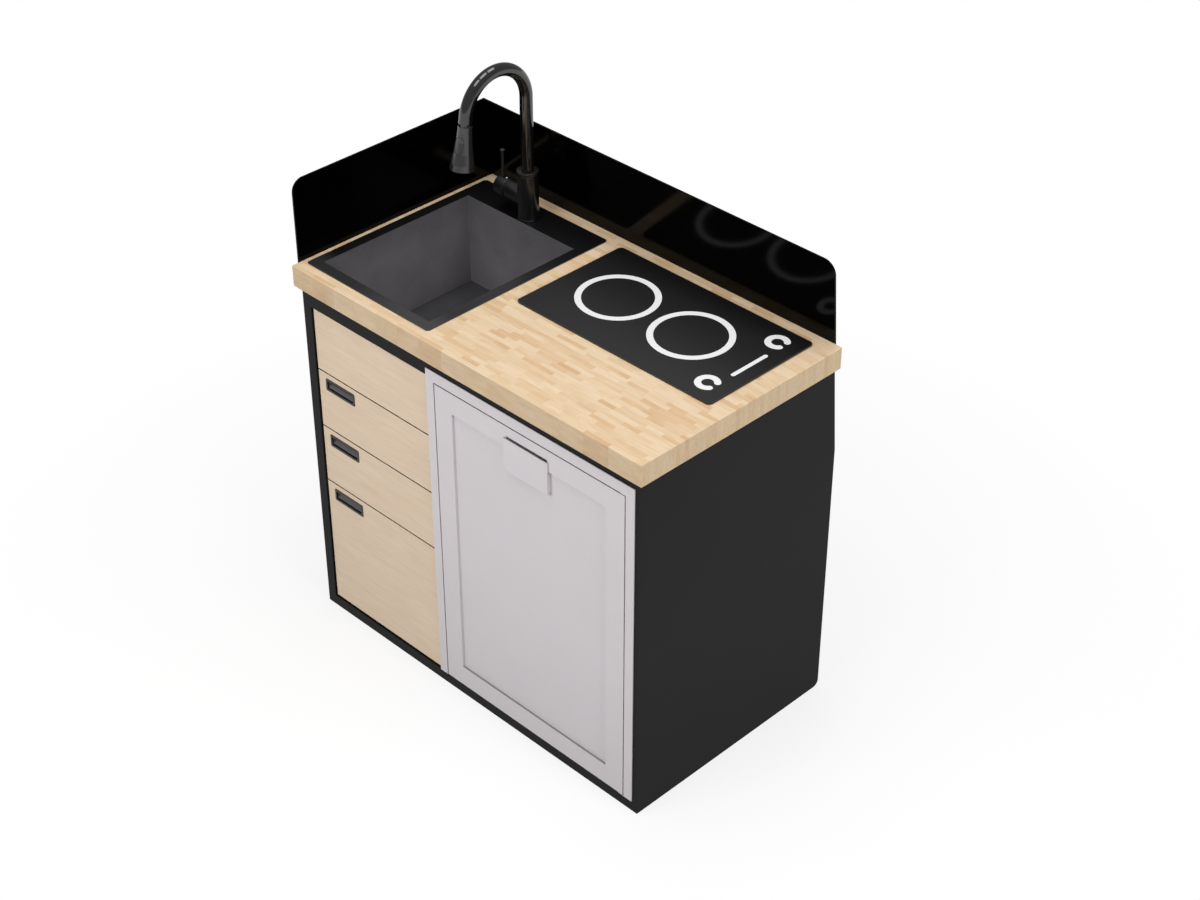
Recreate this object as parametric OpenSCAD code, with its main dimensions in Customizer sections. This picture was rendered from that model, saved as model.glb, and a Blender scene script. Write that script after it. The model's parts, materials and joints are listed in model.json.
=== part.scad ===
// Kitchenette unit for a room or vehicle with a wall that leans in towards the top.
// A black carcass carries a wooden worktop, a sink with a pull-down tap, a two-zone
// hob, three drawers and a built-in refrigerator, with a splashback on two sides.
// +X is right, +Y is back and +Z is up. The origin is on the floor, in the middle of
// the unit's width and depth. Inside the modules X and Y are counted from the
// carcass's front left corner; unit() moves a piece from there to the origin.

/* [Carcass] */
// Width over the two side panels
carcass_w = 998; // [960:1:1200]
// Depth at the floor
carcass_d = 575; // [570:1:640]
// Height up to the worktop's underside
carcass_h = 849; // [845:1:870]
// Thickness of the side panels
side_t = 25; // [18:0.5:25]
// Thickness of the divider between the bays
divider_t = 18; // [15:0.5:20]
// Clear width of the drawer bay
drawer_bay_w = 368; // [368:0.5:390]
// Height of the bottom front rail
plinth_h = 26; // [24:0.5:30]
// Height of the top front rail
top_rail_h = 41; // [36:0.5:46]
// Depth of the front rails
front_rail_d = 22; // [16:1:24]
// Thickness of the bottom panel
bottom_t = 18; // [12:0.5:18]
// Height at which the back starts to lean forward
kink_z = 639; // [600:1:700]
// Lean of the back above the kink, in degrees
lean = 5.3; // [4.5:0.1:5.5]
// Radius of the side panels' heel at the floor
heel_r = 15; // [5:1:30]
// Height of each rear rail
rear_rail_h = 100; // [80:1:110]
// Thickness of the rear rails
rear_rail_t = 18; // [15:0.5:20]
// Radius of the fixing holes in the two lower rear rails
fixing_r = 3.25; // [2.5:0.05:4]
// Distance of the fixing holes from the rails' ends
fixing_inset = 60; // [30:1:90]

/* [Worktop and splashback] */
// Thickness of the worktop
worktop_t = 51; // [48:0.5:55]
// Overhang of the worktop at the front and both ends
overhang = 12; // [8:0.5:20]
// Depth of the worktop
worktop_d = 570.5; // [568:0.5:575]
// Chamfer along the worktop's edges
arris = 1.2; // [0.5:0.1:2]
// Height of the splashback above the worktop
splash_h = 191; // [120:1:260]
// Thickness of the splashback sheets
splash_t = 4; // [3:0.5:6]
// How far the sheets lap down over the worktop's edge
splash_lap = 47; // [40:0.5:47.5]
// Radius of the splashback's free top corners
splash_r = 29; // [10:1:40]
// Setback of the rear sheet's right end from the worktop's end
splash_end = 18.5; // [5:0.5:40]
// Setback of the left sheet's front edge from the worktop's front
splash_front = 18.5; // [5:0.5:40]

/* [Drawers] */
// Thickness of the wooden fronts
front_t = 16; // [15:0.5:18]
// Setback of the fronts from the carcass's face
front_set = 4; // [2:0.5:6]
// Gap around and between the fronts
front_gap = 3; // [2:0.25:4]
// Height of the two shallow fronts
shallow_front_h = 144.25; // [138:0.25:150]
// Height of the deep front
deep_front_h = 328.25; // [320:0.25:332]
// Thickness of the drawer boxes' walls
box_t = 12; // [9:0.5:15]
// Thickness of the drawer boxes' bottoms
box_bottom_t = 6; // [4:0.5:9]
// Height of the two shallow drawer boxes
shallow_box_h = 90; // [80:1:96]
// Height of the deep drawer box
deep_box_h = 245; // [150:1:255]
// Length of the drawer boxes and of their runners
runner_len = 300; // [270:1:305]
// Space taken by one runner between bay and box
runner_t = 12.7; // [12.3:0.1:13.5]
// Height of the fixed runner rail
runner_h = 45; // [42:1:50]
// Sheet thickness of the runners
runner_sheet = 1.2; // [1:0.1:1.4]
// Width of a drawer pull's bezel
pull_w = 94.5; // [80:0.5:120]
// Height of a drawer pull's bezel
pull_h = 30.5; // [26:0.5:36]
// Depth of a drawer pull behind the front's face
pull_d = 13; // [9:0.5:14]

/* [Sink] */
// Width of the sink's rim
sink_w = 384; // [376:1:392]
// Depth of the sink's rim, with the tap deck
sink_d = 512.5; // [504:0.5:516]
// Thickness of the rim above the worktop
sink_t = 2; // [1.5:0.1:3]
// Inner width of the bowl
bowl_w = 333.5; // [300:0.5:334]
// Inner length of the bowl from front to back
bowl_d = 410; // [380:1:412]
// Depth of the bowl below the worktop's top
bowl_h = 218; // [180:1:222]
// Sheet thickness of the bowl
bowl_t = 1.5; // [1:0.1:1.8]
// Inner radius of the bowl's upright corners
bowl_r = 2; // [1.5:0.5:12]
// Radius of the waste's hole in the bowl's floor
waste_hole_r = 44.5; // [44:0.1:45]
// Distance of the waste from the bowl's back wall
waste_back = 110; // [90:1:130]
// Outer radius of the waste pipes
pipe_r = 20; // [18:0.5:21]
// Wall thickness of the waste pipes
pipe_wall = 2.5; // [1.5:0.1:3]
// Bend radius of the waste pipes
pipe_bend = 38; // [34:1:40]

/* [Tap] */
// Radius of the tap body at its foot
tap_foot_r = 24; // [22:0.5:25]
// Radius of the tap body at its top
tap_top_r = 22.7; // [21:0.1:23.5]
// Height of the tap body
tap_body_h = 109.5; // [104:0.5:118]
// Radius of the spout's tube
spout_r = 14.25; // [13:0.25:14.5]
// Radius of the spout's bore
spout_bore_r = 11.2; // [10:0.1:11.5]
// Height of the swan neck's centre above the sink's rim
arc_z = 290.9; // [270:0.1:320]
// Bend radius of the swan neck
arc_r = 85.3; // [80:0.1:90]
// Lean of the spray head towards the user, in degrees
head_tilt = 8; // [5:0.5:10]
// Length of the spray head
head_h = 96; // [88:1:102]
// Radius of the spray head at its face
head_face_r = 26.6; // [24:0.1:28]
// Radius of the spray hose
hose_r = 6.5; // [5:0.1:7]
// Height of the valve hub's axis above the sink's rim
hub_z = 49; // [45:1:52]
// Radius of the valve hub and the lever's cap
hub_r = 22.8; // [21.5:0.1:23.2]
// Distance from the tap's axis to the hub's end
hub_len = 53.6; // [50:0.1:58]
// Length of the lever's cap
cap_len = 28.5; // [26:0.5:31]
// Radius of the lever's rod
rod_r = 3.25; // [2.5:0.05:3.5]
// Height of the rod's top above the hub's axis
rod_h = 87.5; // [70:1:110]

/* [Hob] */
// Width of the hob's glass
hob_w = 538; // [520:1:550]
// Depth of the hob's glass
hob_d = 307; // [300:1:316]
// Thickness of the hob's glass
hob_glass_t = 4; // [3:0.5:6]
// Depth of the tray below the worktop's top
hob_tray_h = 54; // [40:1:60]
// Outer radius of a zone's ring
zone_r = 90; // [80:1:92]
// Line width of a zone's ring
zone_line = 14; // [4:0.5:16]

/* [Refrigerator] */
// Thickness of the refrigerator's front flange
flange_t = 2; // [1.5:0.1:3]
// Width of the flange's two uprights
flange_w = 23; // [20:0.5:25]
// Height of the flange's top
flange_top_h = 25.5; // [23:0.5:28]
// Lap of the flange over the right side panel
flange_lap = 10.5; // [5:0.5:12]
// Gap between the flange and the door
door_gap = 3; // [2.5:0.1:3.5]
// Thickness of the door
door_t = 44; // [40:1:48]
// Sheet thickness of the door and case
sheet_t = 2; // [1.5:0.1:2.5]
// Width of the border round the door's recessed panel
door_border = 50; // [50:1:60]
// Depth of the door's recessed panel
door_recess = 6; // [4:0.5:8]
// Depth of the refrigerator's case behind the door
case_d = 474; // [450:1:478]
// Insulation thickness of the refrigerator's walls
wall_t = 40; // [38:1:45]
// Thickness of the inner lining of the case and of the door
lining_t = 2.5; // [2:0.5:4]
// Depth of the compressor's space at the back
niche_d = 120; // [118:1:130]
// Height of the compressor's space
niche_h = 190; // [160:1:200]
// Width of the door's pull plate
plate_w = 125; // [110:1:140]
// Height of the door's pull plate
plate_h = 77; // [72:1:80]
// Radius of the door's hinge pins
hinge_pin_r = 3.5; // [3:0.1:3.8]

/* [Hidden] */
$fn = 64;
// Gap between faces that move past or seat against each other
seat = 0.3;
// Running gap of a pin in its bore
run = 0.1;
cut = 1;

worktop_top = carcass_h + worktop_t;
worktop_back = worktop_d - overhang;
worktop_w = carcass_w + 2 * overhang;
splash_out_x = -overhang - splash_t;
rim_top = worktop_top + sink_t;

divider_x = side_t + drawer_bay_w;
fridge_bay_x = divider_x + divider_t;
right_in_x = carcass_w - side_t;
top_rail_z = carcass_h - top_rail_h;

deep_front_z = plinth_h + front_gap;
front_2_z = deep_front_z + deep_front_h + front_gap;
front_1_z = front_2_z + shallow_front_h + front_gap;
false_front_z = front_1_z + shallow_front_h + front_gap;
front_x = side_t + front_gap;
front_w = drawer_bay_w - 2 * front_gap;
box_y = front_set + front_t;
box_x = side_t + runner_t;
box_w = drawer_bay_w - 2 * runner_t;
box_lift = 12;
box_groove = 10;
runner_lift = 34;
pull_x = front_x + 24;
pull_drop = 12;
pull_proud = 1.5;
pull_rim = 5;
pull_shell = 1.5;
pull_r = 3;

sink_mid_x = side_t + drawer_bay_w / 2 - 15.2;
sink_x = sink_mid_x - sink_w / 2;
sink_y = 15.5;
bowl_x = sink_mid_x - bowl_w / 2;
bowl_y = sink_y + 26;
bowl_floor = worktop_top - bowl_h;
waste_y = bowl_y + bowl_d - waste_back;
tap_flange_r = tap_foot_r + 1;
tap_y = bowl_y + bowl_d + tap_flange_r + 0.4;
sink_lip = 12;
rim_r = 8;
waste_rim_r = 56;
cup_r = waste_hole_r - 0.5;
cup_nut_h = 12;
outlet_z = bowl_floor - bowl_t - cup_nut_h - pipe_r - 1;
cup_h = bowl_floor - outlet_z + pipe_r + 3;
trap_y = tap_y - 7;
trap_low = outlet_z - 210;
trap_out_z = trap_low + 60;

collar_r = tap_top_r + 1.5;
collar_h = 7;
tail_r = spout_bore_r + 3.8;
tail_h = 48;
shank_r = 16.5;
shank_h = 50;
inlet_r = 4;
inlet_h = 30;
ball_r = hub_r - 1.5;
ball_x = hub_len + 5.2;
cap_x = ball_x + 1;
rod_x = cap_x + cap_len * 0.65;
head_neck_h = 11;
head_top_r = 15;
mouth_h = 19.5;
hose_low_z = worktop_top - shank_h - 6;
ferrule_low = head_neck_h - 1 - mouth_h;
ferrule_top = 8;

hob_x = 426.7;
hob_y = 219.6;
hob_r = 10;
hob_mid_y = hob_y + hob_d / 2;
tray_inset = 16;
tray_wall = 1.2;
gland_r = 4;
gland_h = 14;
zone_1_x = hob_x + 140.1;
zone_2_x = hob_x + 345.1;
mark_t = 0.25;

flange_x = divider_x - 0.5;
flange_out_w = right_in_x + flange_lap - flange_x;
flange_z = plinth_h + 0.7;
door_z = plinth_h + 2.5;
flange_top = top_rail_z + 18.5;
open_x = flange_x + flange_w;
open_w = flange_out_w - 2 * flange_w;
open_top = flange_top - flange_top_h;
door_x = open_x + door_gap;
door_w = open_w - 2 * door_gap;
door_top = open_top - door_gap;
door_h = door_top - door_z;
door_back = door_t - flange_t;
case_y = door_back + 4;
case_x = open_x - sheet_t;
case_w = open_w + 2 * sheet_t;
case_top = open_top + sheet_t;
case_back = case_y + case_d;
cavity_x = open_x + wall_t;
cavity_w = open_w - 2 * wall_t;
cavity_z = plinth_h + wall_t + 2;
cavity_top = open_top - wall_t;
recess_x = door_x + door_border;
recess_w = door_w - 2 * door_border;
recess_z = door_z + door_border + 1;
recess_top = door_top - door_border;
recess_y = door_recess - flange_t;
hinge_x = door_x + door_w - 10;
hinge_y = 5.5;
plate_x = door_x + door_w / 2 - plate_w / 2;
plate_z = recess_top - plate_h + 23;
plate_y = -6;
plate_t = 2.5;
knuckle_r = 3.2;
knuckle_y = recess_y - knuckle_r - seat;
knuckle_z = plate_z + knuckle_r + 1;
latch_pin_r = 1.5;
shelf_z = [cavity_z + 330, cavity_z + 480];
freezer_h = 120;
bin_z = [cavity_z + 40, cavity_z + 260, cavity_z + 450];
bin_depth = 84;

// ---------------------------------------------------------------- helpers

// Moves a piece from the carcass's corner to the unit's origin
module unit() {
  translate([-(carcass_w + 2 * overhang + splash_t) / 2 + overhang + splash_t,
             -(carcass_d + overhang) / 2 + overhang, 0])
    children();
}

// Box from its lowest corner and its size
module box(x, y, z, w, d, h) {
  translate([x, y, z]) cube([w, d, h]);
}

// Extrudes a Y-Z outline along X
module along_x(x, w) {
  translate([x, 0, 0]) rotate([90, 0, 90]) linear_extrude(w) children();
}

// Extrudes an X-Z outline along Y
module along_y(y, d) {
  translate([0, y + d, 0]) rotate([90, 0, 0]) linear_extrude(d) children();
}

// Round bar along Y
module bar_y(x, y, z, r, d) {
  translate([x, y + d, z]) rotate([90, 0, 0]) cylinder(r = r, h = d);
}

// Round bar along X
module bar_x(x, y, z, r, w) {
  translate([x, y, z]) rotate([0, 90, 0]) cylinder(r = r, h = w);
}

// Rectangle with round corners, from its lowest corner
module round_rect(x, y, w, h, r) {
  translate([x, y]) {
    translate([r, 0]) square([w - 2 * r, h]);
    translate([0, r]) square([w, h - 2 * r]);
    for (cx = [r, w - r], cy = [r, h - r])
      translate([cx, cy]) circle(r);
  }
}

// What is cut from a square corner to round it; the corner is at the origin and the
// solid lies on the side that sx and sy point to
module corner_cut(r, sx, sy) {
  difference() {
    translate([sx > 0 ? -cut : -r, sy > 0 ? -cut : -r]) square(r + cut);
    translate([sx * r, sy * r]) circle(r);
  }
}

// Place of the carcass's back at height z
function back_y(z) = z < kink_z ? carcass_d : carcass_d - (z - kink_z) * tan(lean);

// Place of the splashback's front face at height z
function splash_y(z) = worktop_back - (z - worktop_top) * tan(lean);

// ---------------------------------------------------------------- carcass

module side_outline() {
  difference() {
    polygon([[0, 0], [carcass_d, 0], [carcass_d, kink_z],
             [back_y(carcass_h), carcass_h], [0, carcass_h]]);
    translate([carcass_d, 0]) corner_cut(heel_r, -1, 1);
  }
}

module side_left() {
  unit() color([0.14, 0.14, 0.14]) along_x(0, side_t) side_outline();
}

module side_right() {
  unit() color([0.14, 0.14, 0.14]) along_x(right_in_x, side_t) side_outline();
}

module divider() {
  t = rear_rail_t;
  unit() color([0.16, 0.16, 0.16])
    along_x(divider_x, divider_t)
      difference() {
        polygon([[0, plinth_h], [carcass_d - t, plinth_h], [carcass_d - t, kink_z],
                 [back_y(carcass_h) - t, carcass_h], [front_rail_d, carcass_h],
                 [front_rail_d, top_rail_z], [0, top_rail_z]]);
      }
}

module bottom_panel() {
  unit() color([0.16, 0.16, 0.16])
    box(side_t, front_rail_d, plinth_h - bottom_t,
        right_in_x - side_t, carcass_d - rear_rail_t - front_rail_d, bottom_t);
}

module plinth_rail() {
  unit() color([0.14, 0.14, 0.14])
    box(side_t, 0, 0, right_in_x - side_t, front_rail_d, plinth_h);
}

module top_rail() {
  unit() color([0.14, 0.14, 0.14])
    box(side_t, 0, top_rail_z, right_in_x - side_t, front_rail_d, top_rail_h);
}

// Rear rail with two fixing holes through its face
module rear_rail(z) {
  y = carcass_d - rear_rail_t;
  difference() {
    box(side_t, y, z, right_in_x - side_t, rear_rail_t, rear_rail_h);
    for (x = [side_t + fixing_inset, right_in_x - fixing_inset])
      bar_y(x, y - cut, z + rear_rail_h / 2, fixing_r, rear_rail_t + 2 * cut);
  }
}

module rear_rail_low() {
  unit() color([0.2, 0.2, 0.2]) rear_rail(plinth_h);
}

module rear_rail_mid() {
  unit() color([0.2, 0.2, 0.2]) rear_rail(kink_z - rear_rail_h - 4);
}

// The top rear rail leans with the back
module rear_rail_top() {
  low = carcass_h - rear_rail_h;
  unit() color([0.2, 0.2, 0.2])
    along_x(side_t, right_in_x - side_t)
      polygon([[back_y(low) - rear_rail_t, low], [back_y(low), low],
               [back_y(carcass_h), carcass_h],
               [back_y(carcass_h) - rear_rail_t, carcass_h]]);
}

// ---------------------------------------------------------------- worktop

module worktop() {
  unit() color([0.88, 0.76, 0.58])
    difference() {
      hull() {
        box(-overhang + arris, -overhang + arris, carcass_h,
            worktop_w - 2 * arris, worktop_d - arris, worktop_t);
        box(-overhang, -overhang, carcass_h + arris,
            worktop_w, worktop_d, worktop_t - 2 * arris);
      }
      translate([0, 0, carcass_h - cut])
        linear_extrude(worktop_t + 2 * cut) {
          round_rect(sink_x + sink_lip, sink_y + sink_lip,
                     sink_w - 2 * sink_lip, sink_d - 2 * sink_lip, rim_r);
          round_rect(hob_x + tray_inset - 4, hob_y + tray_inset - 4,
                     hob_w - 2 * tray_inset + 8, hob_d - 2 * tray_inset + 8, hob_r);
        }
    }
}

screw_r = 2;
screw_head_r = 4;
screw_head_h = 2.2;
screw_z = worktop_top - worktop_t / 2;
rear_screw_x = [for (i = [0 : 4]) 40 + i * (worktop_w - splash_end - 120) / 4];
left_screw_y = [for (i = [0 : 2]) 70 + i * (worktop_back - 140) / 2];

// Rear sheet; its face follows the lean from the worktop's top edge
module splash_rear() {
  w = worktop_w + splash_t - splash_end;
  top = splash_h / cos(lean);
  unit() color([0.02, 0.02, 0.02])
    difference() {
      translate([splash_out_x, worktop_back, worktop_top])
        rotate([lean, 0, 0])
          along_y(0, splash_t)
            difference() {
              translate([0, -splash_lap]) square([w, splash_lap + top]);
              translate([w, top]) corner_cut(splash_r, -1, -1);
            }
      for (x = rear_screw_x)
        translate([x, 0, screw_z]) rear_screw_hole();
    }
}

module rear_screw_hole() {
  y = splash_y(screw_z) + splash_t / cos(lean);
  bar_y(0, worktop_back + cut, 0, screw_r + run, splash_t + 10);
  translate([0, y, 0]) rotate([-90, 0, 0]) countersink(run);
}

// Cone of a countersunk head with its face at the origin, grown by g
module countersink(g) {
  r = screw_head_r + g;
  rotate_extrude()
    polygon([[0, cut], [r, cut], [r, 0], [screw_r + g, -screw_head_h], [0, -screw_head_h]]);
}

// Left sheet, upright, cut at the back to meet the rear sheet
module splash_left() {
  y0 = splash_front - overhang;
  z0 = worktop_top - splash_lap;
  z1 = worktop_top + splash_h;
  unit() color([0.02, 0.02, 0.02])
    difference() {
      along_x(splash_out_x, splash_t)
        difference() {
          polygon([[y0, z0], [splash_y(z0) - seat, z0], [splash_y(z1) - seat, z1], [y0, z1]]);
          translate([y0, z1]) corner_cut(splash_r, 1, -1);
        }
      for (y = left_screw_y) {
        bar_x(splash_out_x - cut, y, screw_z, screw_r + run, splash_t + 2 * cut);
        translate([splash_out_x, y, screw_z]) rotate([0, -90, 0]) countersink(run);
      }
    }
}

// Tapered strip that fills the wedge between the worktop's back and the leaning sheet
module splash_wedge() {
  z0 = worktop_top - splash_lap + 2;
  z1 = worktop_top - 6;
  unit() color([0.3, 0.26, 0.2])
    difference() {
      along_x(-overhang, worktop_w - splash_end)
        polygon([[worktop_back, z0], [splash_y(z0) - seat, z0],
                 [splash_y(z1) - seat, z1], [worktop_back, z1]]);
      for (x = rear_screw_x)
        bar_y(x, worktop_back - cut, screw_z, screw_r + run, 10);
    }
}

// Screws of both sheets: heads outside, shanks up to the worktop's edge
module splash_screws() {
  y = splash_y(screw_z) + splash_t / cos(lean);
  unit() color([0.1, 0.1, 0.1]) {
    for (x = rear_screw_x)
      translate([x, y, screw_z]) rotate([-90, 0, 0]) screw(y - worktop_back - 0.2);
    for (sy = left_screw_y)
      translate([splash_out_x, sy, screw_z]) rotate([0, -90, 0]) screw(splash_t - 0.2);
  }
}

// Countersunk screw with the middle of its face at the origin, facing +Z
module screw(length) {
  rotate_extrude()
    polygon([[0, 0], [screw_head_r, 0], [screw_r, -screw_head_h], [screw_r, -length],
             [0, -length]]);
}

batten_t = 14;
batten_h = 60;

// Fixed front before the bowl, with the batten that holds it between the panels
module false_front() {
  unit() color([0.84, 0.75, 0.62])
    union() {
      box(front_x, front_set, false_front_z, front_w, front_t,
          top_rail_z - front_gap - false_front_z);
      box(side_t + 0.1, front_set + front_t, false_front_z + 8, drawer_bay_w - 0.2,
          batten_t, batten_h);
    }
}

// ---------------------------------------------------------------- drawers

// Bottom edge and height of drawer front i, counted from the top
function front_z(i) = i == 1 ? front_1_z : i == 2 ? front_2_z : deep_front_z;
function front_h(i) = i == 3 ? deep_front_h : shallow_front_h;
function box_z(i) = front_z(i) + box_lift;
function box_h(i) = i == 3 ? deep_box_h : shallow_box_h;
function pull_z(i) = front_z(i) + front_h(i) - pull_drop - pull_h;
function runner_z(i) = box_z(i) + runner_lift - runner_h / 2;

// Outline of a pull's cup, grown by g
module cup_outline(i, g) {
  inset = pull_rim - g;
  round_rect(pull_x + inset, pull_z(i) + inset,
             pull_w - 2 * inset, pull_h - 2 * inset, pull_r);
}

module drawer_front(i) {
  unit() color([0.84, 0.75, 0.62])
    difference() {
      box(front_x, front_set, front_z(i), front_w, front_t, front_h(i));
      along_y(front_set - cut, cut + pull_d + seat)
        cup_outline(i, pull_shell + seat);
    }
}

// Open box with its bottom let into a groove
module drawer_box(i) {
  inner_w = box_w - 2 * box_t;
  inner_d = runner_len - 2 * box_t;
  unit() color([0.8, 0.72, 0.58])
    difference() {
      box(box_x, box_y, box_z(i), box_w, runner_len, box_h(i));
      box(box_x + box_t, box_y + box_t, box_z(i) + box_groove + box_bottom_t,
          inner_w, inner_d, box_h(i));
      box(box_x + box_t, box_y + box_t, box_z(i) - cut,
          inner_w, inner_d, box_groove + cut);
    }
}

// Black pull: a thin bezel on the front, a cup in it and a ramp that leads the
// fingers up behind the bezel's top edge
module drawer_pull(i) {
  y0 = front_set - pull_proud;
  y1 = front_set + pull_d - pull_shell;
  z0 = pull_z(i) + pull_rim;
  z1 = z0 + pull_h - 2 * pull_rim;
  unit() color([0.1, 0.1, 0.1])
    difference() {
      union() {
        along_y(y0, pull_proud) round_rect(pull_x, pull_z(i), pull_w, pull_h, pull_r);
        along_y(y0, pull_proud + pull_d) cup_outline(i, pull_shell);
      }
      intersection() {
        along_y(y0 - cut, y1 - y0 + cut) cup_outline(i, 0);
        along_x(pull_x, pull_w)
          polygon([[y0 - cut, z0 - cut], [y0, z0 - cut], [y0, z0], [y1, z0 + 8],
                   [y1, z1 + cut], [y0 - cut, z1 + cut]]);
      }
    }
}

// Channel of a runner: web at x, flanges towards +X when dir is 1
module runner_channel(x, dir, depth, z, h, y, l) {
  s = runner_sheet;
  along_y(y, l)
    translate([x, z]) mirror([dir < 0 ? 1 : 0, 0])
      difference() {
        square([depth, h]);
        translate([s, s]) square([depth, h - 2 * s]);
      }
}

runner_slack = 0.5;
middle_z = runner_sheet + runner_slack;
inner_z = 2 * middle_z;

// Places one set of children at each side of the bay, mirrored on the right
module both_sides() {
  children();
  translate([2 * side_t + drawer_bay_w, 0, 0]) mirror([1, 0, 0]) children();
}

module runner_rails() {
  unit() color([0.7, 0.7, 0.72])
    for (i = [1 : 3])
      both_sides()
        runner_channel(side_t, 1, runner_t - runner_slack, runner_z(i), runner_h,
                       box_y, runner_len);
}

module runner_middle(i) {
  unit() color([0.7, 0.7, 0.72])
    both_sides()
      runner_channel(side_t + middle_z, 1, runner_t - 2 * middle_z,
                     runner_z(i) + middle_z, runner_h - 2 * middle_z,
                     box_y + 1, runner_len - 2);
}

module runner_inner(i) {
  unit() color([0.7, 0.7, 0.72])
    both_sides()
      runner_channel(side_t + runner_t, -1, runner_t - inner_z - runner_slack,
                     runner_z(i) + inner_z, runner_h - 2 * inner_z,
                     box_y + 0.5, runner_len - 4);
}

module drawer_front_1() { drawer_front(1); }
module drawer_front_2() { drawer_front(2); }
module drawer_front_3() { drawer_front(3); }
module drawer_box_1() { drawer_box(1); }
module drawer_box_2() { drawer_box(2); }
module drawer_box_3() { drawer_box(3); }
module drawer_pull_1() { drawer_pull(1); }
module drawer_pull_2() { drawer_pull(2); }
module drawer_pull_3() { drawer_pull(3); }
module runner_middle_1() { runner_middle(1); }
module runner_middle_2() { runner_middle(2); }
module runner_middle_3() { runner_middle(3); }
module runner_inner_1() { runner_inner(1); }
module runner_inner_2() { runner_inner(2); }
module runner_inner_3() { runner_inner(3); }

// ---------------------------------------------------------------- sink and waste

module sink() {
  unit() color([0.12, 0.12, 0.12])
    difference() {
      union() {
        translate([0, 0, worktop_top])
          linear_extrude(sink_t) round_rect(sink_x, sink_y, sink_w, sink_d, rim_r);
        translate([0, 0, bowl_floor - bowl_t])
          linear_extrude(bowl_h + bowl_t)
            round_rect(bowl_x - bowl_t, bowl_y - bowl_t, bowl_w + 2 * bowl_t,
                       bowl_d + 2 * bowl_t, bowl_r + bowl_t);
      }
      translate([0, 0, bowl_floor])
        linear_extrude(bowl_h + sink_t + cut)
          round_rect(bowl_x, bowl_y, bowl_w, bowl_d, bowl_r);
      translate([sink_mid_x, waste_y, bowl_floor - bowl_t - cut])
        cylinder(r = waste_hole_r, h = bowl_t + 2 * cut);
      translate([sink_mid_x, tap_y, worktop_top - cut])
        cylinder(r = shank_r + 1, h = sink_t + 2 * cut);
    }
}

waste_flange_t = 1.5;
waste_seat_z = 9;

// Cup of the waste with its rim on the bowl's floor and an outlet to the back
module sink_waste() {
  r = cup_r;
  unit() color([0.1, 0.1, 0.1])
    translate([sink_mid_x, waste_y, bowl_floor])
      difference() {
        union() {
          rotate_extrude()
            polygon([[r - 2, -waste_seat_z], [r - 2, 0], [r, waste_flange_t],
                     [waste_rim_r, waste_flange_t], [waste_rim_r, 0], [r, 0],
                     [r, -cup_h], [0, -cup_h], [0, -cup_h + 2], [r - 4.5, -cup_h + 2],
                     [r - 4.5, -waste_seat_z]]);
          bar_y(0, r - 2, outlet_z - bowl_floor, pipe_r, 22);
        }
        bar_y(0, r - 5, outlet_z - bowl_floor, pipe_r - pipe_wall, 30);
      }
}

// Lift-out strainer: perforated cup with a knob
module sink_basket() {
  r = cup_r - 2.5;
  unit() color([0.35, 0.35, 0.35])
    translate([sink_mid_x, waste_y, bowl_floor])
      difference() {
        rotate_extrude()
          polygon([[0, -30], [30, -30], [r - 3, -waste_seat_z + seat],
                   [r, -waste_seat_z + seat], [r, -3], [r - 1.2, -3],
                   [r - 1.2, -waste_seat_z + 1.5], [r - 4, -waste_seat_z + 1.5],
                   [29, -28.5], [5, -28.5], [5, -10], [9, -8], [9, -4], [7, -2], [0, -2]]);
        for (a = [0 : 45 : 315])
          rotate([0, 0, a]) translate([22, 0, -32]) cylinder(r = 3, h = 6);
        for (a = [0 : 60 : 300])
          rotate([0, 0, a]) translate([13, 0, -32]) cylinder(r = 3, h = 6);
      }
}

module pipe_ring() {
  difference() {
    circle(pipe_r);
    circle(pipe_r - pipe_wall);
  }
}

// Quarter bend in the Y-Z plane about the origin, from +Y round to +Z
module pipe_quarter() {
  rotate([90, 0, 90]) rotate_extrude(angle = 90) translate([pipe_bend, 0]) pipe_ring();
}

module sink_trap() {
  x0 = sink_mid_x;
  x1 = x0 + 2 * pipe_bend;
  y0 = waste_y + cup_r + 20 + seat;
  drop = outlet_z - pipe_bend;
  rise = trap_out_z - pipe_bend;
  end_y = carcass_d - rear_rail_t - 5;
  unit() color([0.12, 0.12, 0.12]) {
    translate([x0, y0, outlet_z]) rotate([-90, 0, 0])
      linear_extrude(trap_y - pipe_bend - y0) pipe_ring();
    translate([x0, trap_y - pipe_bend, drop]) pipe_quarter();
    translate([x0, trap_y, trap_low]) linear_extrude(drop - trap_low) pipe_ring();
    translate([x0 + pipe_bend, trap_y, trap_low])
      rotate([-90, 0, 0]) rotate_extrude(angle = 180)
        translate([pipe_bend, 0]) pipe_ring();
    translate([x1, trap_y, trap_low]) linear_extrude(rise - trap_low) pipe_ring();
    translate([x1, trap_y + pipe_bend, rise])
      mirror([0, 1, 0]) pipe_quarter();
    translate([x1, trap_y + pipe_bend, trap_out_z]) rotate([-90, 0, 0])
      linear_extrude(end_y - trap_y - pipe_bend) pipe_ring();
  }
}

// Collar nut with grip flats, its axis along Z
module slip_nut(r_in, h) {
  difference() {
    cylinder(r = r_in + 7, h = h);
    translate([0, 0, -cut]) cylinder(r = r_in + seat, h = h + 2 * cut);
    for (a = [0 : 45 : 315])
      rotate([0, 0, a]) translate([r_in + 8, 0, -cut]) cylinder(r = 3, h = h + 2 * cut);
  }
}

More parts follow.
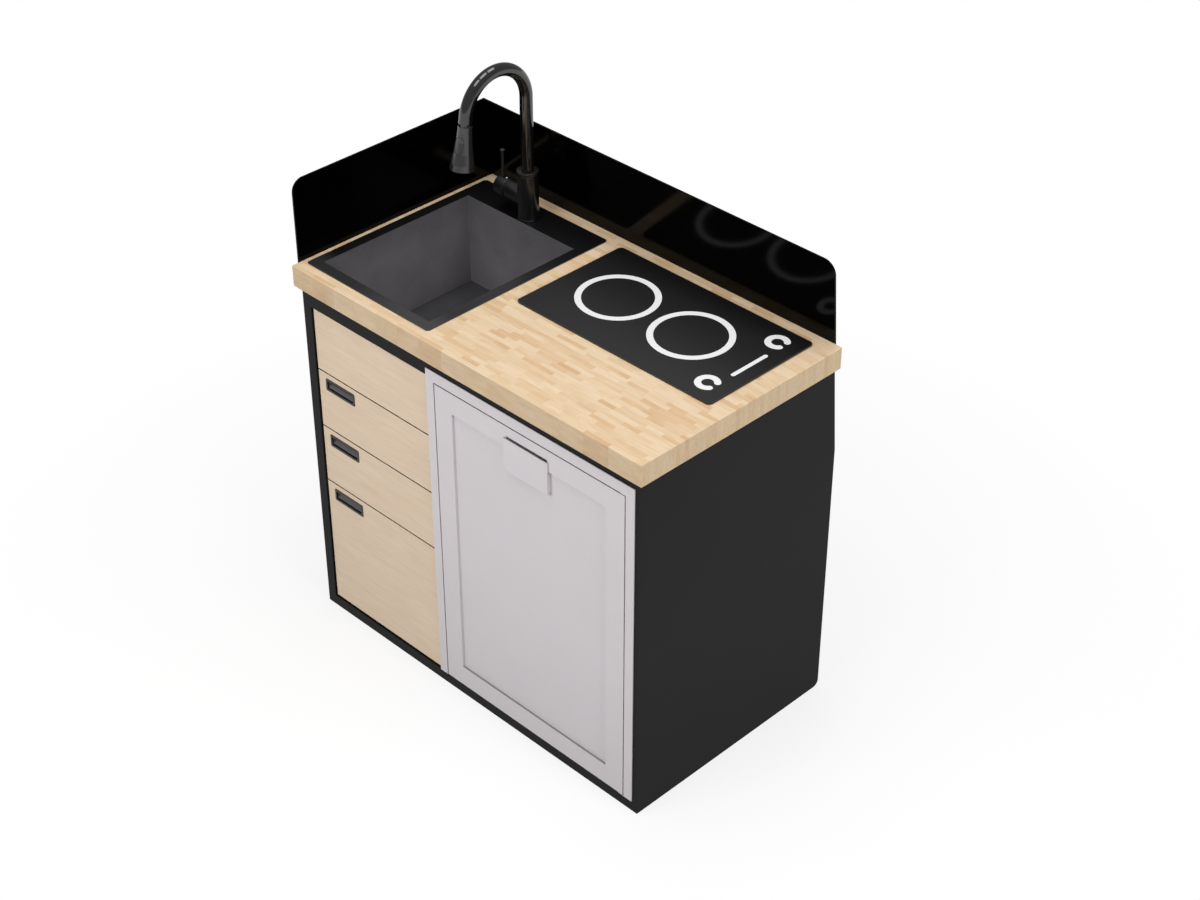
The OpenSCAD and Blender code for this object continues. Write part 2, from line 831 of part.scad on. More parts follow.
module slip_nuts() {
  unit() color([0.08, 0.08, 0.08]) {
    translate([sink_mid_x, waste_y, bowl_floor - bowl_t - cup_nut_h - 0.2])
      slip_nut(cup_r, cup_nut_h);
    translate([sink_mid_x, waste_y + cup_r + 10, outlet_z])
      rotate([-90, 0, 0]) slip_nut(pipe_r, 20);
    translate([sink_mid_x, trap_y, trap_low + 60]) slip_nut(pipe_r, 20);
  }
}

// ---------------------------------------------------------------- tap

// Moves a tap piece to the tap's foot on the sink's deck
module at_tap() {
  unit() translate([sink_mid_x, tap_y, rim_top]) children();
}

module tap_body() {
  at_tap() color([0.1, 0.1, 0.1])
    difference() {
      union() {
        cylinder(r = tap_flange_r, h = 4);
        rotate_extrude()
          polygon([[0, 3], [tap_foot_r, 3], [tap_foot_r, 8],
                   [tap_top_r, tap_body_h], [0, tap_body_h]]);
        bar_x(-hub_len, 0, hub_z, hub_r, hub_len);
      }
      translate([0, 0, tap_body_h - tail_h - 1])
        cylinder(r = tail_r + run, h = tail_h + 2);
      translate([0, 0, -cut]) cylinder(r = hose_r + 3, h = tap_body_h);
      translate([-ball_x, 0, hub_z]) sphere(ball_r + seat);
      bar_x(-ball_x, 0, hub_z, 6 + run, ball_x - tail_r);
    }
}

// Threaded shank under the deck with its backnut and two inlet nipples
module tap_shank() {
  r = shank_r;
  at_tap() color([0.45, 0.43, 0.38])
    translate([0, 0, -sink_t])
      difference() {
        union() {
          translate([0, 0, -shank_h])
            rotate_extrude() {
              translate([0, 0]) square([r - 0.8, shank_h + sink_t]);
              for (k = [0 : 2 : shank_h - 4])
                translate([0, k]) polygon([[0, 0], [r - 0.8, 0], [r, 1], [r - 0.8, 2], [0, 2]]);
            }
          translate([0, 0, -3]) cylinder(r = tap_flange_r - bowl_t, h = 2.8);
          translate([0, 0, -13]) cylinder(r = r + 8, h = 10.5, $fn = 6);
          for (sx = [-1, 1])
            translate([sx * (r - inlet_r - 0.9), 0, -shank_h - inlet_h])
              cylinder(r = inlet_r, h = inlet_h + 2);
        }
        translate([0, 0, -shank_h - cut])
          cylinder(r = hose_r + seat, h = shank_h + sink_t + 2 * cut);
      }
}

module tap_spout() {
  low = tap_body_h - tail_h;
  seat_z = tap_body_h + 0.2;
  top = seat_z + collar_h;
  at_tap() color([0.1, 0.1, 0.1]) {
    rotate_extrude()
      polygon([[spout_bore_r, low], [tail_r, low], [tail_r, seat_z],
               [collar_r - 1, seat_z], [collar_r, seat_z + 1], [collar_r, top - 1],
               [collar_r - 1, top], [spout_r, top], [spout_r, arc_z],
               [spout_bore_r, arc_z]]);
    translate([0, -arc_r, arc_z])
      rotate([90, 0, 90]) rotate_extrude(angle = 180 - head_tilt)
        translate([arc_r, 0]) spout_ring();
    at_mouth()
      rotate_extrude()
        polygon([[spout_bore_r + 0.4, -mouth_h], [spout_r + 0.4, -mouth_h],
                 [spout_r + 0.4, 3], [spout_r - 1, 3], [spout_r - 1, 1],
                 [spout_bore_r + 0.4, 1]]);
  }
}

module spout_ring() {
  difference() {
    circle(spout_r);
    circle(spout_bore_r);
  }
}

// The neck's end, with +Z pointing back into the neck
module at_mouth() {
  a = 180 - head_tilt;
  translate([0, -arc_r + arc_r * cos(a), arc_z + arc_r * sin(a)])
    rotate([-head_tilt, 0, 0]) children();
}

// The hose runs from under the shank through riser and neck to the head
module spray_hose() {
  a = 180 - head_tilt;
  low = hose_low_z - rim_top;
  at_tap() color([0.3, 0.3, 0.3]) {
    translate([0, 0, low]) cylinder(r = hose_r, h = arc_z - low);
    translate([0, -arc_r, arc_z])
      rotate([90, 0, 90]) rotate_extrude(angle = a - 2.5)
        translate([arc_r, 0]) circle(hose_r);
    at_mouth() translate([0, 0, ferrule_low])
      cylinder(r = hose_r + 2, h = ferrule_top - ferrule_low);
  }
}

head_z = -mouth_h - seat;
button_z = head_z - head_h * 0.41;

// Outline of the head's flared cone: waist, flare and face
module head_outline() {
  t = head_top_r;
  f = head_face_r;
  h = head_h;
  polygon([[0, 0], [t - 1, 0], [t, -1], [t + 0.6, -14],
           [t + 2.4, -h * 0.35], [t + 5.6, -h * 0.6], [f - 1.6, -h * 0.85],
           [f, -h + 2], [f - 1, -h], [f - 3, -h], [f - 4.5, -h + 2.5], [0, -h + 2.5]]);
}

button_az = 12;
button_lean = 5;
button_r = 9.5;
button_half_h = 8;
button_d = 5;
button_travel = 1.5;

// Frame of the toggle button: +Z looks out of the head's front
module at_button() {
  at_mouth() translate([0, 0, button_z]) rotate([0, 0, button_az])
    rotate([90 - button_lean, 0, 0]) children();
}

// Oval prism from the head's axis outward, its outline grown by g
module button_oval(g) {
  r = button_r + g;
  linear_extrude(head_face_r + 5) {
    for (sy = [-1, 1]) translate([0, sy * button_half_h]) circle(r);
    translate([-r, -button_half_h]) square([2 * r, 2 * button_half_h]);
  }
}

module spray_head() {
  at_tap() color([0.3, 0.3, 0.3])
    difference() {
      union() {
        at_mouth() translate([0, 0, head_z]) rotate_extrude() head_outline();
        at_mouth() translate([0, 0, head_z - 1])
          cylinder(r = spout_bore_r - seat, h = head_neck_h);
      }
      at_button() translate([0, 0, head_top_r + 4 - button_d - button_travel - seat])
        button_oval(seat);
      at_mouth() for (a = [0 : 30 : 330], k = [8, 14, 19])
        rotate([0, 0, a + k]) translate([k, 0, head_z - head_h]) cylinder(r = 0.9, h = 5);
    }
}

// The button's face is the head's own surface, a hair lower
module spray_button() {
  at_tap() color([0.2, 0.2, 0.2])
    intersection() {
      at_mouth() translate([0, 0, head_z]) rotate_extrude() head_outline();
      at_button() translate([0, 0, head_top_r + 4 - button_d]) button_oval(0);
    }
}

module valve_ball() {
  at_tap() color([0.4, 0.4, 0.4]) {
    translate([-ball_x, 0, hub_z]) rotate([0, 90, 0])
      rotate_extrude() {
        intersection() {
          circle(ball_r);
          translate([0, -ball_r]) square([ball_r, 2 * ball_r]);
        }
        square([6, ball_x - tail_r - 3]);
      }
  }
}

module lever_cap() {
  at_tap() color([0.1, 0.1, 0.1])
    translate([-cap_x - cap_len, 0, hub_z])
      difference() {
        rotate([0, 90, 0])
          rotate_extrude()
            polygon([[0, 0], [hub_r - 2, 0], [hub_r, 2], [hub_r, cap_len - 0.6],
                     [hub_r - 0.6, cap_len], [0, cap_len]]);
        translate([cap_x + cap_len - ball_x, 0, 0]) sphere(ball_r + seat);
        translate([cap_x + cap_len - rod_x, 0, hub_r - 8])
          cylinder(r = rod_r + 0.05, h = 10);
      }
}

// Pin with a button on top, pressed into the cap
module lever_rod() {
  at_tap() color([0.1, 0.1, 0.1])
    translate([-rod_x, 0, hub_z]) {
      translate([0, 0, hub_r - 8]) cylinder(r = rod_r, h = rod_h - hub_r + 8 - 1);
      translate([0, 0, rod_h - 2.6]) cylinder(r = rod_r + 2, h = 2.6);
    }
}

// ---------------------------------------------------------------- hob

module hob_glass() {
  unit() color([0.06, 0.06, 0.06])
    translate([0, 0, worktop_top])
      linear_extrude(hob_glass_t) round_rect(hob_x, hob_y, hob_w, hob_d, hob_r);
}

// C-shaped mark with round ends and its gap on the +X side
module c_mark(r_in, r_out, gap) {
  m = (r_in + r_out) / 2;
  w = r_out - r_in;
  difference() {
    circle(r_out);
    circle(r_in);
    polygon([[0, 0], [r_out * 2, -r_out * 2 * tan(gap)], [r_out * 2, r_out * 2 * tan(gap)]]);
  }
  for (s = [-1, 1])
    translate([m * cos(gap), s * m * sin(gap)]) circle(w / 2);
}

mark_x = hob_x + hob_w - 54;
mark_gap = 38;

// Printed control marks and zone rings, a thin layer on the glass
module hob_marks() {
  unit() color([0.95, 0.95, 0.95])
    translate([0, 0, worktop_top + hob_glass_t])
      linear_extrude(mark_t) {
        for (x = [zone_1_x, zone_2_x])
          translate([x, hob_mid_y + 2.3])
            difference() {
              circle(zone_r);
              circle(zone_r - zone_line);
            }
        for (y = [hob_mid_y - 99.6, hob_mid_y + 104.9])
          translate([mark_x, y]) c_mark(12.5, 26.5, mark_gap);
        translate([mark_x + 12.5, hob_mid_y + 2.3 - 52]) round_rect(0, 0, 9.5, 104, 4.7);
      }
}

// Sheet tray that hangs from the glass, with a cable gland at the back
module hob_tray() {
  x = hob_x + tray_inset;
  y = hob_y + tray_inset;
  w = hob_w - 2 * tray_inset;
  d = hob_d - 2 * tray_inset;
  z = worktop_top - hob_tray_h;
  unit() color([0.55, 0.56, 0.58])
    difference() {
      union() {
        box(x, y, z, w, d, hob_tray_h);
        translate([x + w - 60, y + d - 40, z - gland_h])
          cylinder(r = gland_r + 5, h = gland_h + tray_wall);
      }
      box(x + tray_wall, y + tray_wall, z + tray_wall,
          w - 2 * tray_wall, d - 2 * tray_wall, hob_tray_h);
      translate([x + w - 60, y + d - 40, z - gland_h - cut])
        cylinder(r = gland_r, h = gland_h + tray_wall + 2 * cut);
      for (i = [0 : 11], j = [0 : 3])
        translate([x + 60 + i * 34, y + 60 + j * 10, z - cut])
          along_slot();
    }
}

// Vent slot of the tray
module along_slot() {
  linear_extrude(tray_wall + 2 * cut) round_rect(0, 0, 24, 4, 1.9);
}

// Two wound coils on posts and the power board
module hob_coils() {
  z = worktop_top - hob_tray_h + tray_wall;
  unit() color([0.7, 0.4, 0.2]) {
    for (x = [zone_1_x, zone_2_x])
      translate([x, hob_mid_y, 0]) {
        translate([0, 0, worktop_top - 12]) cylinder(r = zone_r - 16, h = 3);
        translate([0, 0, worktop_top - 9])
          rotate_extrude()
            for (k = [0 : 11])
              translate([18 + k * 4.5, 2.3]) circle(2.3, $fn = 24);
        for (a = [0 : 120 : 240])
          rotate([0, 0, a]) translate([zone_r - 28, 0, z])
            cylinder(r = 4, h = worktop_top - 12 - z);
      }
    box(hob_x + hob_w - 92, hob_y + 40, z, 56, 220, 2);
    box(hob_x + hob_w - 86, hob_y + 60, z + 2, 44, 90, 22);
  }
}

// ---------------------------------------------------------------- refrigerator

// Side outline of the case above the compressor's space, shrunk by g
module case_outline(g) {
  x0 = case_y;
  x1 = case_back - g;
  xn = case_back - niche_d - g;
  z0 = plinth_h + seat + g;
  zn = plinth_h + niche_h + g;
  z1 = case_top - g;
  polygon([[x0, z0], [xn, z0], [xn, zn], [x1, zn], [x1, z1], [x0, z1]]);
}

module fridge_case() {
  unit() color([0.8, 0.8, 0.82])
    difference() {
      along_x(case_x, case_w) case_outline(0);
      along_x(case_x + sheet_t, case_w - 2 * sheet_t)
        union() {
          case_outline(sheet_t);
          translate([case_y - cut, plinth_h + seat + sheet_t])
            square([2 * cut, case_top - plinth_h - seat - 2 * sheet_t]);
        }
    }
}

// Side view of the cold space, grown by g behind, above and below
module cavity_outline(g) {
  y1 = case_back - wall_t + g;
  yn = case_back - niche_d - wall_t + g;
  zn = plinth_h + niche_h + wall_t - g;
  polygon([[case_y + seat, cavity_z - g], [yn, cavity_z - g], [yn, zn], [y1, zn],
           [y1, cavity_top + g], [case_y + seat, cavity_top + g]]);
}

// Inner lining with its front rim and ledges for the shelves
module fridge_liner() {
  g = sheet_t + 0.1;
  y1 = case_back - wall_t;
  unit() color([0.93, 0.93, 0.93]) {
    difference() {
      union() {
        along_x(cavity_x - lining_t, cavity_w + 2 * lining_t) cavity_outline(lining_t);
        box(case_x + g, case_y + g, plinth_h + seat + g, case_w - 2 * g, lining_t,
            case_top - plinth_h - seat - 2 * g);
      }
      along_x(cavity_x, cavity_w) cavity_outline(0);
      box(cavity_x, case_y - cut, cavity_z, cavity_w, 20, cavity_top - cavity_z);
    }
    for (z = shelf_z, x = [cavity_x - cut, cavity_x + cavity_w - 8])
      box(x, shelf_y, z - 4, 8 + cut, y1 - shelf_y + cut, 4);
  }
}

shelf_y = door_back + bin_depth + 20;
shelf_d = case_back - wall_t - shelf_y - 6;

module fridge_shelves() {
  unit() color([0.8, 0.85, 0.85])
    for (z = shelf_z) {
      box(cavity_x + seat, shelf_y, z + 0.1, cavity_w - 2 * seat, shelf_d, 4);
      box(cavity_x + seat, shelf_y - 3, z - 3.9, cavity_w - 2 * seat, 2.8, 12);
      box(cavity_x + seat, shelf_y - 0.5, z + 0.1, cavity_w - 2 * seat, 1, 4);
    }
}

// Freezing compartment under the ceiling, open at the front
module freezer_box() {
  z = cavity_top - freezer_h - seat;
  w = cavity_w - 2 * seat;
  y1 = case_back - wall_t - 0.2;
  unit() color([0.75, 0.78, 0.8])
    difference() {
      box(cavity_x + seat, shelf_y, z, w, y1 - shelf_y, freezer_h);
      box(cavity_x + seat + 3, shelf_y - cut, z + 3, w - 6, y1 - shelf_y - 3, freezer_h - 6);
    }
}

// Compressor on its base plate and the condenser coil up the case's back
module cooling_unit() {
  x = open_x + open_w * 0.62;
  y = case_back - niche_d / 2;
  z = plinth_h;
  coil_r = 2.5;
  coil_y = case_back + 5;
  coil_x0 = open_x + 40;
  coil_x1 = open_x + open_w - 40;
  coil_z0 = plinth_h + niche_h + 40;
  rows = 9;
  pitch = 50;
  unit() color([0.08, 0.08, 0.08]) {
    box(open_x + 10, case_back - niche_d + 6, z + 0.1, open_w - 20, niche_d - 12, 2);
    for (sx = [-42, 42], sy = [-34, 34])
      translate([x + sx, y + sy, z + 2]) cylinder(r = 7, h = 12);
    translate([x, y, z + 14])
      rotate_extrude()
        polygon([[0, 0], [40, 0], [48, 6], [50, 14], [50, 52], [53, 54], [53, 57],
                 [50, 59], [50, 92], [46, 106], [36, 116], [20, 121], [0, 122]]);
    for (sx = [-1, 1])
      box(x + sx * 42 - 10, y - 40, z + 14, 20, 80, 2);
    // pipe from the compressor up the back, and the coil's rows and bends
    bar_y(x, y, z + 90, coil_r + 0.3, coil_y - y + 1);
    translate([x, coil_y, z + 90]) cylinder(r = coil_r - 0.3, h = coil_z0 - z - 90);
    for (k = [0 : rows - 1])
      bar_x(coil_x0, coil_y, coil_z0 + k * pitch, coil_r, coil_x1 - coil_x0);
    for (k = [0 : rows - 2])
      translate([k % 2 == 0 ? coil_x0 : coil_x1, coil_y, coil_z0 + (k + 0.5) * pitch])
        rotate([90, k % 2 == 0 ? -90 : 90, 0])
          rotate_extrude(angle = 180) translate([pitch / 2, 0]) circle(coil_r);
    // clips that hold the coil off the case
    for (cx = [coil_x0 + 30, coil_x1 - 30], k = [0, 4, 8])
      box(cx, case_back + 0.1, coil_z0 + k * pitch - 6, 8, 5, 12);
  }
}

// Front flange on three sides, its sleeve back to the case and the hinge brackets
module fridge_flange() {
  t = 1.5;
  sleeve_y = case_y - 0.2;
  hinge_r = 7;
  unit() color([0.8, 0.79, 0.8]) {
    along_y(-flange_t, flange_t)
      difference() {
        translate([flange_x, flange_z]) square([flange_out_w, flange_top - flange_z]);
        translate([open_x, flange_z - cut]) square([open_w, open_top - flange_z + cut]);
      }
    along_y(-cut, sleeve_y + cut)
      difference() {
        translate([open_x - t, flange_z]) square([open_w + 2 * t, open_top + t - flange_z]);
        translate([open_x, flange_z - cut]) square([open_w, open_top - flange_z + cut]);
      }
    for (top = [0, 1]) {
      z0 = top == 1 ? open_top - 1.6 : plinth_h + 0.1;
      difference() {
        translate([0, 0, z0])
          linear_extrude(top == 1 ? 1.7 : 1.5) {
            translate([hinge_x, hinge_y]) circle(hinge_r);
            translate([hinge_x, hinge_y - hinge_r]) square([open_x + open_w + 0.5 - hinge_x,
                                                            2 * hinge_r]);
          }
      }
      translate([hinge_x, hinge_y, top == 1 ? z0 - 14 : z0])
        cylinder(r = hinge_pin_r, h = 15);
    }
  }
}

// Grey door: folded pan with a recessed panel, bores for the hinge pins, a pocket
// behind the pull plate and the middle knuckle with the plate's pin
module fridge_door() {
  front = -flange_t;
  inner_y = recess_y + sheet_t;
  pocket_z = plate_z + plate_h - 30;
  knuckle_w = plate_w * 0.54;
  mid_x = plate_x + plate_w / 2;
  unit() color([0.8, 0.79, 0.8]) {
    difference() {
      box(door_x, front, door_z, door_w, door_t, door_h);
      box(recess_x, front - cut, recess_z, recess_w, door_recess + cut, recess_top - recess_z);
      difference() {
        box(door_x + sheet_t, inner_y, door_z + sheet_t,
            door_w - 2 * sheet_t, door_t, door_h - 2 * sheet_t);
        hinge_block(door_z, 22);
        hinge_block(door_top - 22, 22);
        box(plate_x, inner_y - cut, pocket_z - 3, plate_w, 9, plate_h);
      }
      translate([hinge_x, hinge_y, door_z - cut]) cylinder(r = hinge_pin_r + run, h = 20);
      translate([hinge_x, hinge_y, door_top - 19]) cylinder(r = hinge_pin_r + run, h = 20);
      box(plate_x + 4, front - cut, recess_top - 8,
          plate_w - 8, 12 + cut, plate_z + plate_h + 4 - recess_top + 8);
    }
    bar_x(mid_x - knuckle_w / 2, knuckle_y, knuckle_z, knuckle_r, knuckle_w);
    box(mid_x - knuckle_w / 2, knuckle_y, knuckle_z - 2, knuckle_w, recess_y - knuckle_y + 0.5, 4);
    bar_x(plate_x + 1, knuckle_y, knuckle_z, latch_pin_r, plate_w - 2);
  }
}

// Solid corner of the door that carries a hinge pin
module hinge_block(z, h) {
  box(hinge_x - 12, recess_y, z, 22, 24, h);
}

// Inner lining of the door, a tray turned to the front
module door_liner() {
  g = sheet_t + 0.1;
  y0 = recess_y + g;
  unit() color([0.93, 0.93, 0.93])
    difference() {
      box(door_x + g, y0, door_z + g, door_w - 2 * g, door_back - y0, door_h - 2 * g);
      box(door_x + g + lining_t, y0 - cut, door_z + g + lining_t,
          door_w - 2 * (g + lining_t), door_back - lining_t - y0 + cut,
          door_h - 2 * (g + lining_t));
      box(hinge_x - 12.2, 0, door_z, 30, recess_y + 24.2, 22.2);
      box(hinge_x - 12.2, 0, door_top - 22.2, 30, recess_y + 24.2, 30);
      box(plate_x - 0.2, 0, plate_z + plate_h - 33.4, plate_w + 0.4,
          inner_pocket_y, plate_h + 0.8);
    }
}

inner_pocket_y = recess_y + sheet_t + 8.2;

module door_gasket() {
  w = 10;
  x0 = door_x + 12;
  z0 = door_z + 12;
  gw = hinge_x - 4 - x0;
  gh = door_h - 24;
  unit() color([0.6, 0.6, 0.6])
    along_y(door_back + 0.05, case_y - door_back - 0.05 - seat)
      difference() {
        translate([x0, z0]) square([gw, gh]);
        translate([x0 + w, z0 + w]) square([gw - 2 * w, gh - 2 * w]);
      }
}

bin_x = cavity_x + 32;
bin_w = cavity_w - 52;
bin_wall = 2.5;

// Three open bins on the door's inside
module door_bins() {
  h = 60;
  unit() color([0.85, 0.88, 0.88])
    for (z = bin_z)
      difference() {
        box(bin_x, door_back + 0.1, z, bin_w, bin_depth, h);
        box(bin_x + bin_wall, door_back + bin_wall, z + bin_wall,
            bin_w - 2 * bin_wall, bin_depth - 2 * bin_wall, h);
      }
}

// Sprung pull plate: shell with cheeks and two outer knuckles
module door_pull() {
  y0 = plate_y;
  z0 = plate_z;
  z1 = plate_z + plate_h;
  clear_z = recess_top - 3;
  ear_w = plate_w * 0.22;
  unit() color([0.82, 0.81, 0.82])
    difference() {
      union() {
        box(plate_x, y0, z0, plate_w, plate_t, plate_h);
        for (x = [plate_x, plate_x + plate_w - plate_t])
          along_x(x, plate_t)
            polygon([[y0, z0], [knuckle_y, z0 + 1], [knuckle_y + knuckle_r, knuckle_z],
                     [knuckle_y + knuckle_r, clear_z], [-flange_t - seat, clear_z],
                     [-flange_t - seat, z1], [y0, z1]]);
        for (x = [plate_x, plate_x + plate_w - ear_w]) {
          bar_x(x, knuckle_y, knuckle_z, knuckle_r, ear_w);
          box(x, y0 + 1, knuckle_z - 1.2, ear_w, knuckle_y - y0 - 1, 2.4);
        }
      }
      bar_x(plate_x - cut, knuckle_y, knuckle_z, latch_pin_r + run, plate_w + 2 * cut);
    }
}

side_left();
side_right();
divider();
bottom_panel();
plinth_rail();
top_rail();
rear_rail_low();
rear_rail_mid();
rear_rail_top();
worktop();
splash_rear();
splash_left();
splash_wedge();
splash_screws();
false_front();
runner_rails();
drawer_front_1();
drawer_box_1();
drawer_pull_1();
runner_middle_1();
runner_inner_1();
drawer_front_2();
drawer_box_2();
drawer_pull_2();
runner_middle_2();
runner_inner_2();
drawer_front_3();
drawer_box_3();
drawer_pull_3();
runner_middle_3();
runner_inner_3();
sink();
sink_waste();
sink_basket();
sink_trap();
slip_nuts();
tap_body();
tap_shank();
tap_spout();
spray_hose();
spray_head();
spray_button();
valve_ball();
lever_cap();
lever_rod();
hob_glass();
hob_marks();
hob_tray();
hob_coils();
fridge_case();
fridge_liner();
fridge_flange();
fridge_shelves();
freezer_box();
cooling_unit();
fridge_door();
door_liner();
door_gasket();
door_bins();
door_pull();
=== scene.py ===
"""Looks of the kitchenette unit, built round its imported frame.

Everything is in metres in the row frame: +X right, +Y back, +Z up, origin on the floor.
The CAD nodes keep their shapes and take the material of their slot. Finer pieces stand
in for the tap's body, neck, cap and rod. The hub, the collar, the trim of the spray head
and the hose that shows when the head is pulled are pieces of their own.
"""

import json
import math

import bpy
import numpy as np
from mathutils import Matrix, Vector


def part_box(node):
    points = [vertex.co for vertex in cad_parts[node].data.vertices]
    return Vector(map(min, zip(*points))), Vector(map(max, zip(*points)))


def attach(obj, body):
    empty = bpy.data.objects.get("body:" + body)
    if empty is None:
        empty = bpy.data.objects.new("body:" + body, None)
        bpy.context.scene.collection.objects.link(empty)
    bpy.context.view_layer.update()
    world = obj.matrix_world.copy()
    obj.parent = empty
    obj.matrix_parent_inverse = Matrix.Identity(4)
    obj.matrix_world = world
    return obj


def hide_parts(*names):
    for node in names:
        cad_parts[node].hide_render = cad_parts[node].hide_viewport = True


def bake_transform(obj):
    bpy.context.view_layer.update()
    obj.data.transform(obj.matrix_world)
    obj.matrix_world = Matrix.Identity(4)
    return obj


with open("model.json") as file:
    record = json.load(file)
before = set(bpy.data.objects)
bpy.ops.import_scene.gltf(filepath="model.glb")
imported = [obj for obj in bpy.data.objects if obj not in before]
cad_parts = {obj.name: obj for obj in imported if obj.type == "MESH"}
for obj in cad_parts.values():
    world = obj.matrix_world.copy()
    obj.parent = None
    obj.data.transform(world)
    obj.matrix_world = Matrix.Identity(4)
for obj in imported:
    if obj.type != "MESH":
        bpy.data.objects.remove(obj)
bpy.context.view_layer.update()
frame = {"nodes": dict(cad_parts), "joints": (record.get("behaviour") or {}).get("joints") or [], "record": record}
nodes = frame["nodes"]


# ---------------------------------------------------------------- shader graphs

# A surface counts as upright where its normal's height is under the first of these, and
# as level above the second. Most of a noise lies between the next two.
UPRIGHT_BELOW, LEVEL_ABOVE = 0.3, 0.7
NOISE_LOW, NOISE_HIGH = 0.3, 0.7


class Graph:
    """Adds nodes to a node tree. An input can be a value or another node's socket."""

    def __init__(self, tree):
        self.tree = tree

    def node(self, kind, inputs=None, **settings):
        """A new node. Its settings come first, because some of them change its sockets."""
        made = self.tree.nodes.new(kind)
        for name, value in settings.items():
            setattr(made, name, value)
        for name, value in (inputs or {}).items():
            if isinstance(value, bpy.types.NodeSocket):
                self.tree.links.new(value, made.inputs[name])
            else:
                made.inputs[name].default_value = value
        return made

    def group(self, name, settings=None):
        """The outputs of one of the shared groups, placed with its own values."""
        return self.node("ShaderNodeGroup", settings, node_tree=GROUPS[name]).outputs

    def math(self, operation, *values):
        """A Math node's result for up to three values."""
        pairs = dict(enumerate(values))
        return self.node("ShaderNodeMath", pairs, operation=operation).outputs[0]

    def plus(self, a, b):
        return self.math("ADD", a, b)

    def minus(self, a, b):
        return self.math("SUBTRACT", a, b)

    def times(self, a, b):
        return self.math("MULTIPLY", a, b)

    def span(self, value, low, high, to_low=0.0, to_high=1.0):
        """value mapped from low..high to to_low..to_high, clamped."""
        made = self.node("ShaderNodeMapRange", {0: value, 1: low, 2: high,
                                                3: to_low, 4: to_high})
        return made.outputs[0]

    def mix(self, factor, a, b, blend="MIX"):
        """Two colours mixed by factor. Sockets 6 and 7 are the node's colour inputs."""
        made = self.node("ShaderNodeMix", {0: factor, 6: a, 7: b},
                         data_type="RGBA", blend_type=blend)
        return made.outputs[2]

    def tint(self, colour, tone):
        """A colour times a tone that is the same in red, green and blue."""
        level = self.node("ShaderNodeCombineXYZ", {0: tone, 1: tone, 2: tone}).outputs[0]
        return self.mix(1.0, colour, level, "MULTIPLY")

    def place(self):
        """Object coordinates, which are the row frame's."""
        return self.node("ShaderNodeTexCoord").outputs["Object"]

    def stretch(self, vector, scale):
        """A vector scaled in X, Y and Z."""
        return self.node("ShaderNodeMapping", {"Vector": vector, "Scale": scale}).outputs[0]

    def split(self, vector):
        """A vector's X, Y and Z."""
        return self.node("ShaderNodeSeparateXYZ", {0: vector}).outputs

    def between(self, mask, off, on):
        """One number where a mask is 0 and another where it is 1."""
        return self.math("MULTIPLY_ADD", mask, on - off, off)

    def up(self):
        """How far a surface faces up: 1 upwards, 0 where it is upright, -1 downwards."""
        return self.split(self.node("ShaderNodeNewGeometry").outputs["Normal"])[2]

    def noise(self, vector, scale, detail=2.0, rough=0.5):
        """Smooth noise from 0 to 1, with detail octaves that each weigh rough."""
        made = self.node("ShaderNodeTexNoise", {"Vector": vector, "Scale": scale,
                                                "Detail": detail, "Roughness": rough})
        return made.outputs["Fac"]


def rgb(r, g, b):
    """A colour given in screen values of 0 to 255, as linear light."""
    def line(c):
        c = c / 255
        return c / 12.92 if c <= 0.04045 else ((c + 0.055) / 1.055) ** 2.4
    return (line(r), line(g), line(b), 1.0)


def new_group(name, inputs, outputs):
    """An empty shader group: its Graph, its input sockets and its output sockets."""
    tree = bpy.data.node_groups.new(name, "ShaderNodeTree")
    for title, kind, value in inputs:
        socket = tree.interface.new_socket(title, in_out="INPUT",
                                           socket_type="NodeSocket" + kind)
        if value is not None:
            socket.default_value = value
    for title, kind in outputs:
        tree.interface.new_socket(title, in_out="OUTPUT", socket_type="NodeSocket" + kind)
    graph = Graph(tree)
    ins = graph.node("NodeGroupInput").outputs
    outs = graph.node("NodeGroupOutput").inputs
    return graph, ins, outs


def put_out(graph, outs, **values):
    """Links values to the group's outputs."""
    for title, value in values.items():
        graph.tree.links.new(value, outs[title])


def mottle_group():
    """Cloudy change of a plain colour, and fine speckle for bumps and gloss.

    The base colour is multiplied by 1 + 2 (Cloud (cloud - 1/2) + Speckle (speckle - 1/2)),
    with cloud and speckle two noises from 0 to 1.
    """
    graph, ins, outs = new_group(
        "mottle",
        [("Base", "Color", (0.5, 0.5, 0.5, 1)), ("Cloud Scale", "Float", 8.0),
         ("Cloud", "Float", 0.1), ("Speckle Scale", "Float", 900.0),
         ("Speckle", "Float", 0.05)],
        [("Color", "Color"), ("Height", "Float")])
    place = graph.place()
    cloud = graph.noise(place, ins["Cloud Scale"], detail=4.0, rough=0.6)
    speckle = graph.noise(place, ins["Speckle Scale"], detail=1.0)
    lift = graph.times(graph.minus(cloud, 0.5), ins["Cloud"])
    grit = graph.times(graph.minus(speckle, 0.5), ins["Speckle"])
    change = graph.plus(graph.times(graph.plus(lift, grit), 2.0), 1.0)
    put_out(graph, outs, Color=graph.tint(ins["Base"], change), Height=speckle)
    return graph.tree


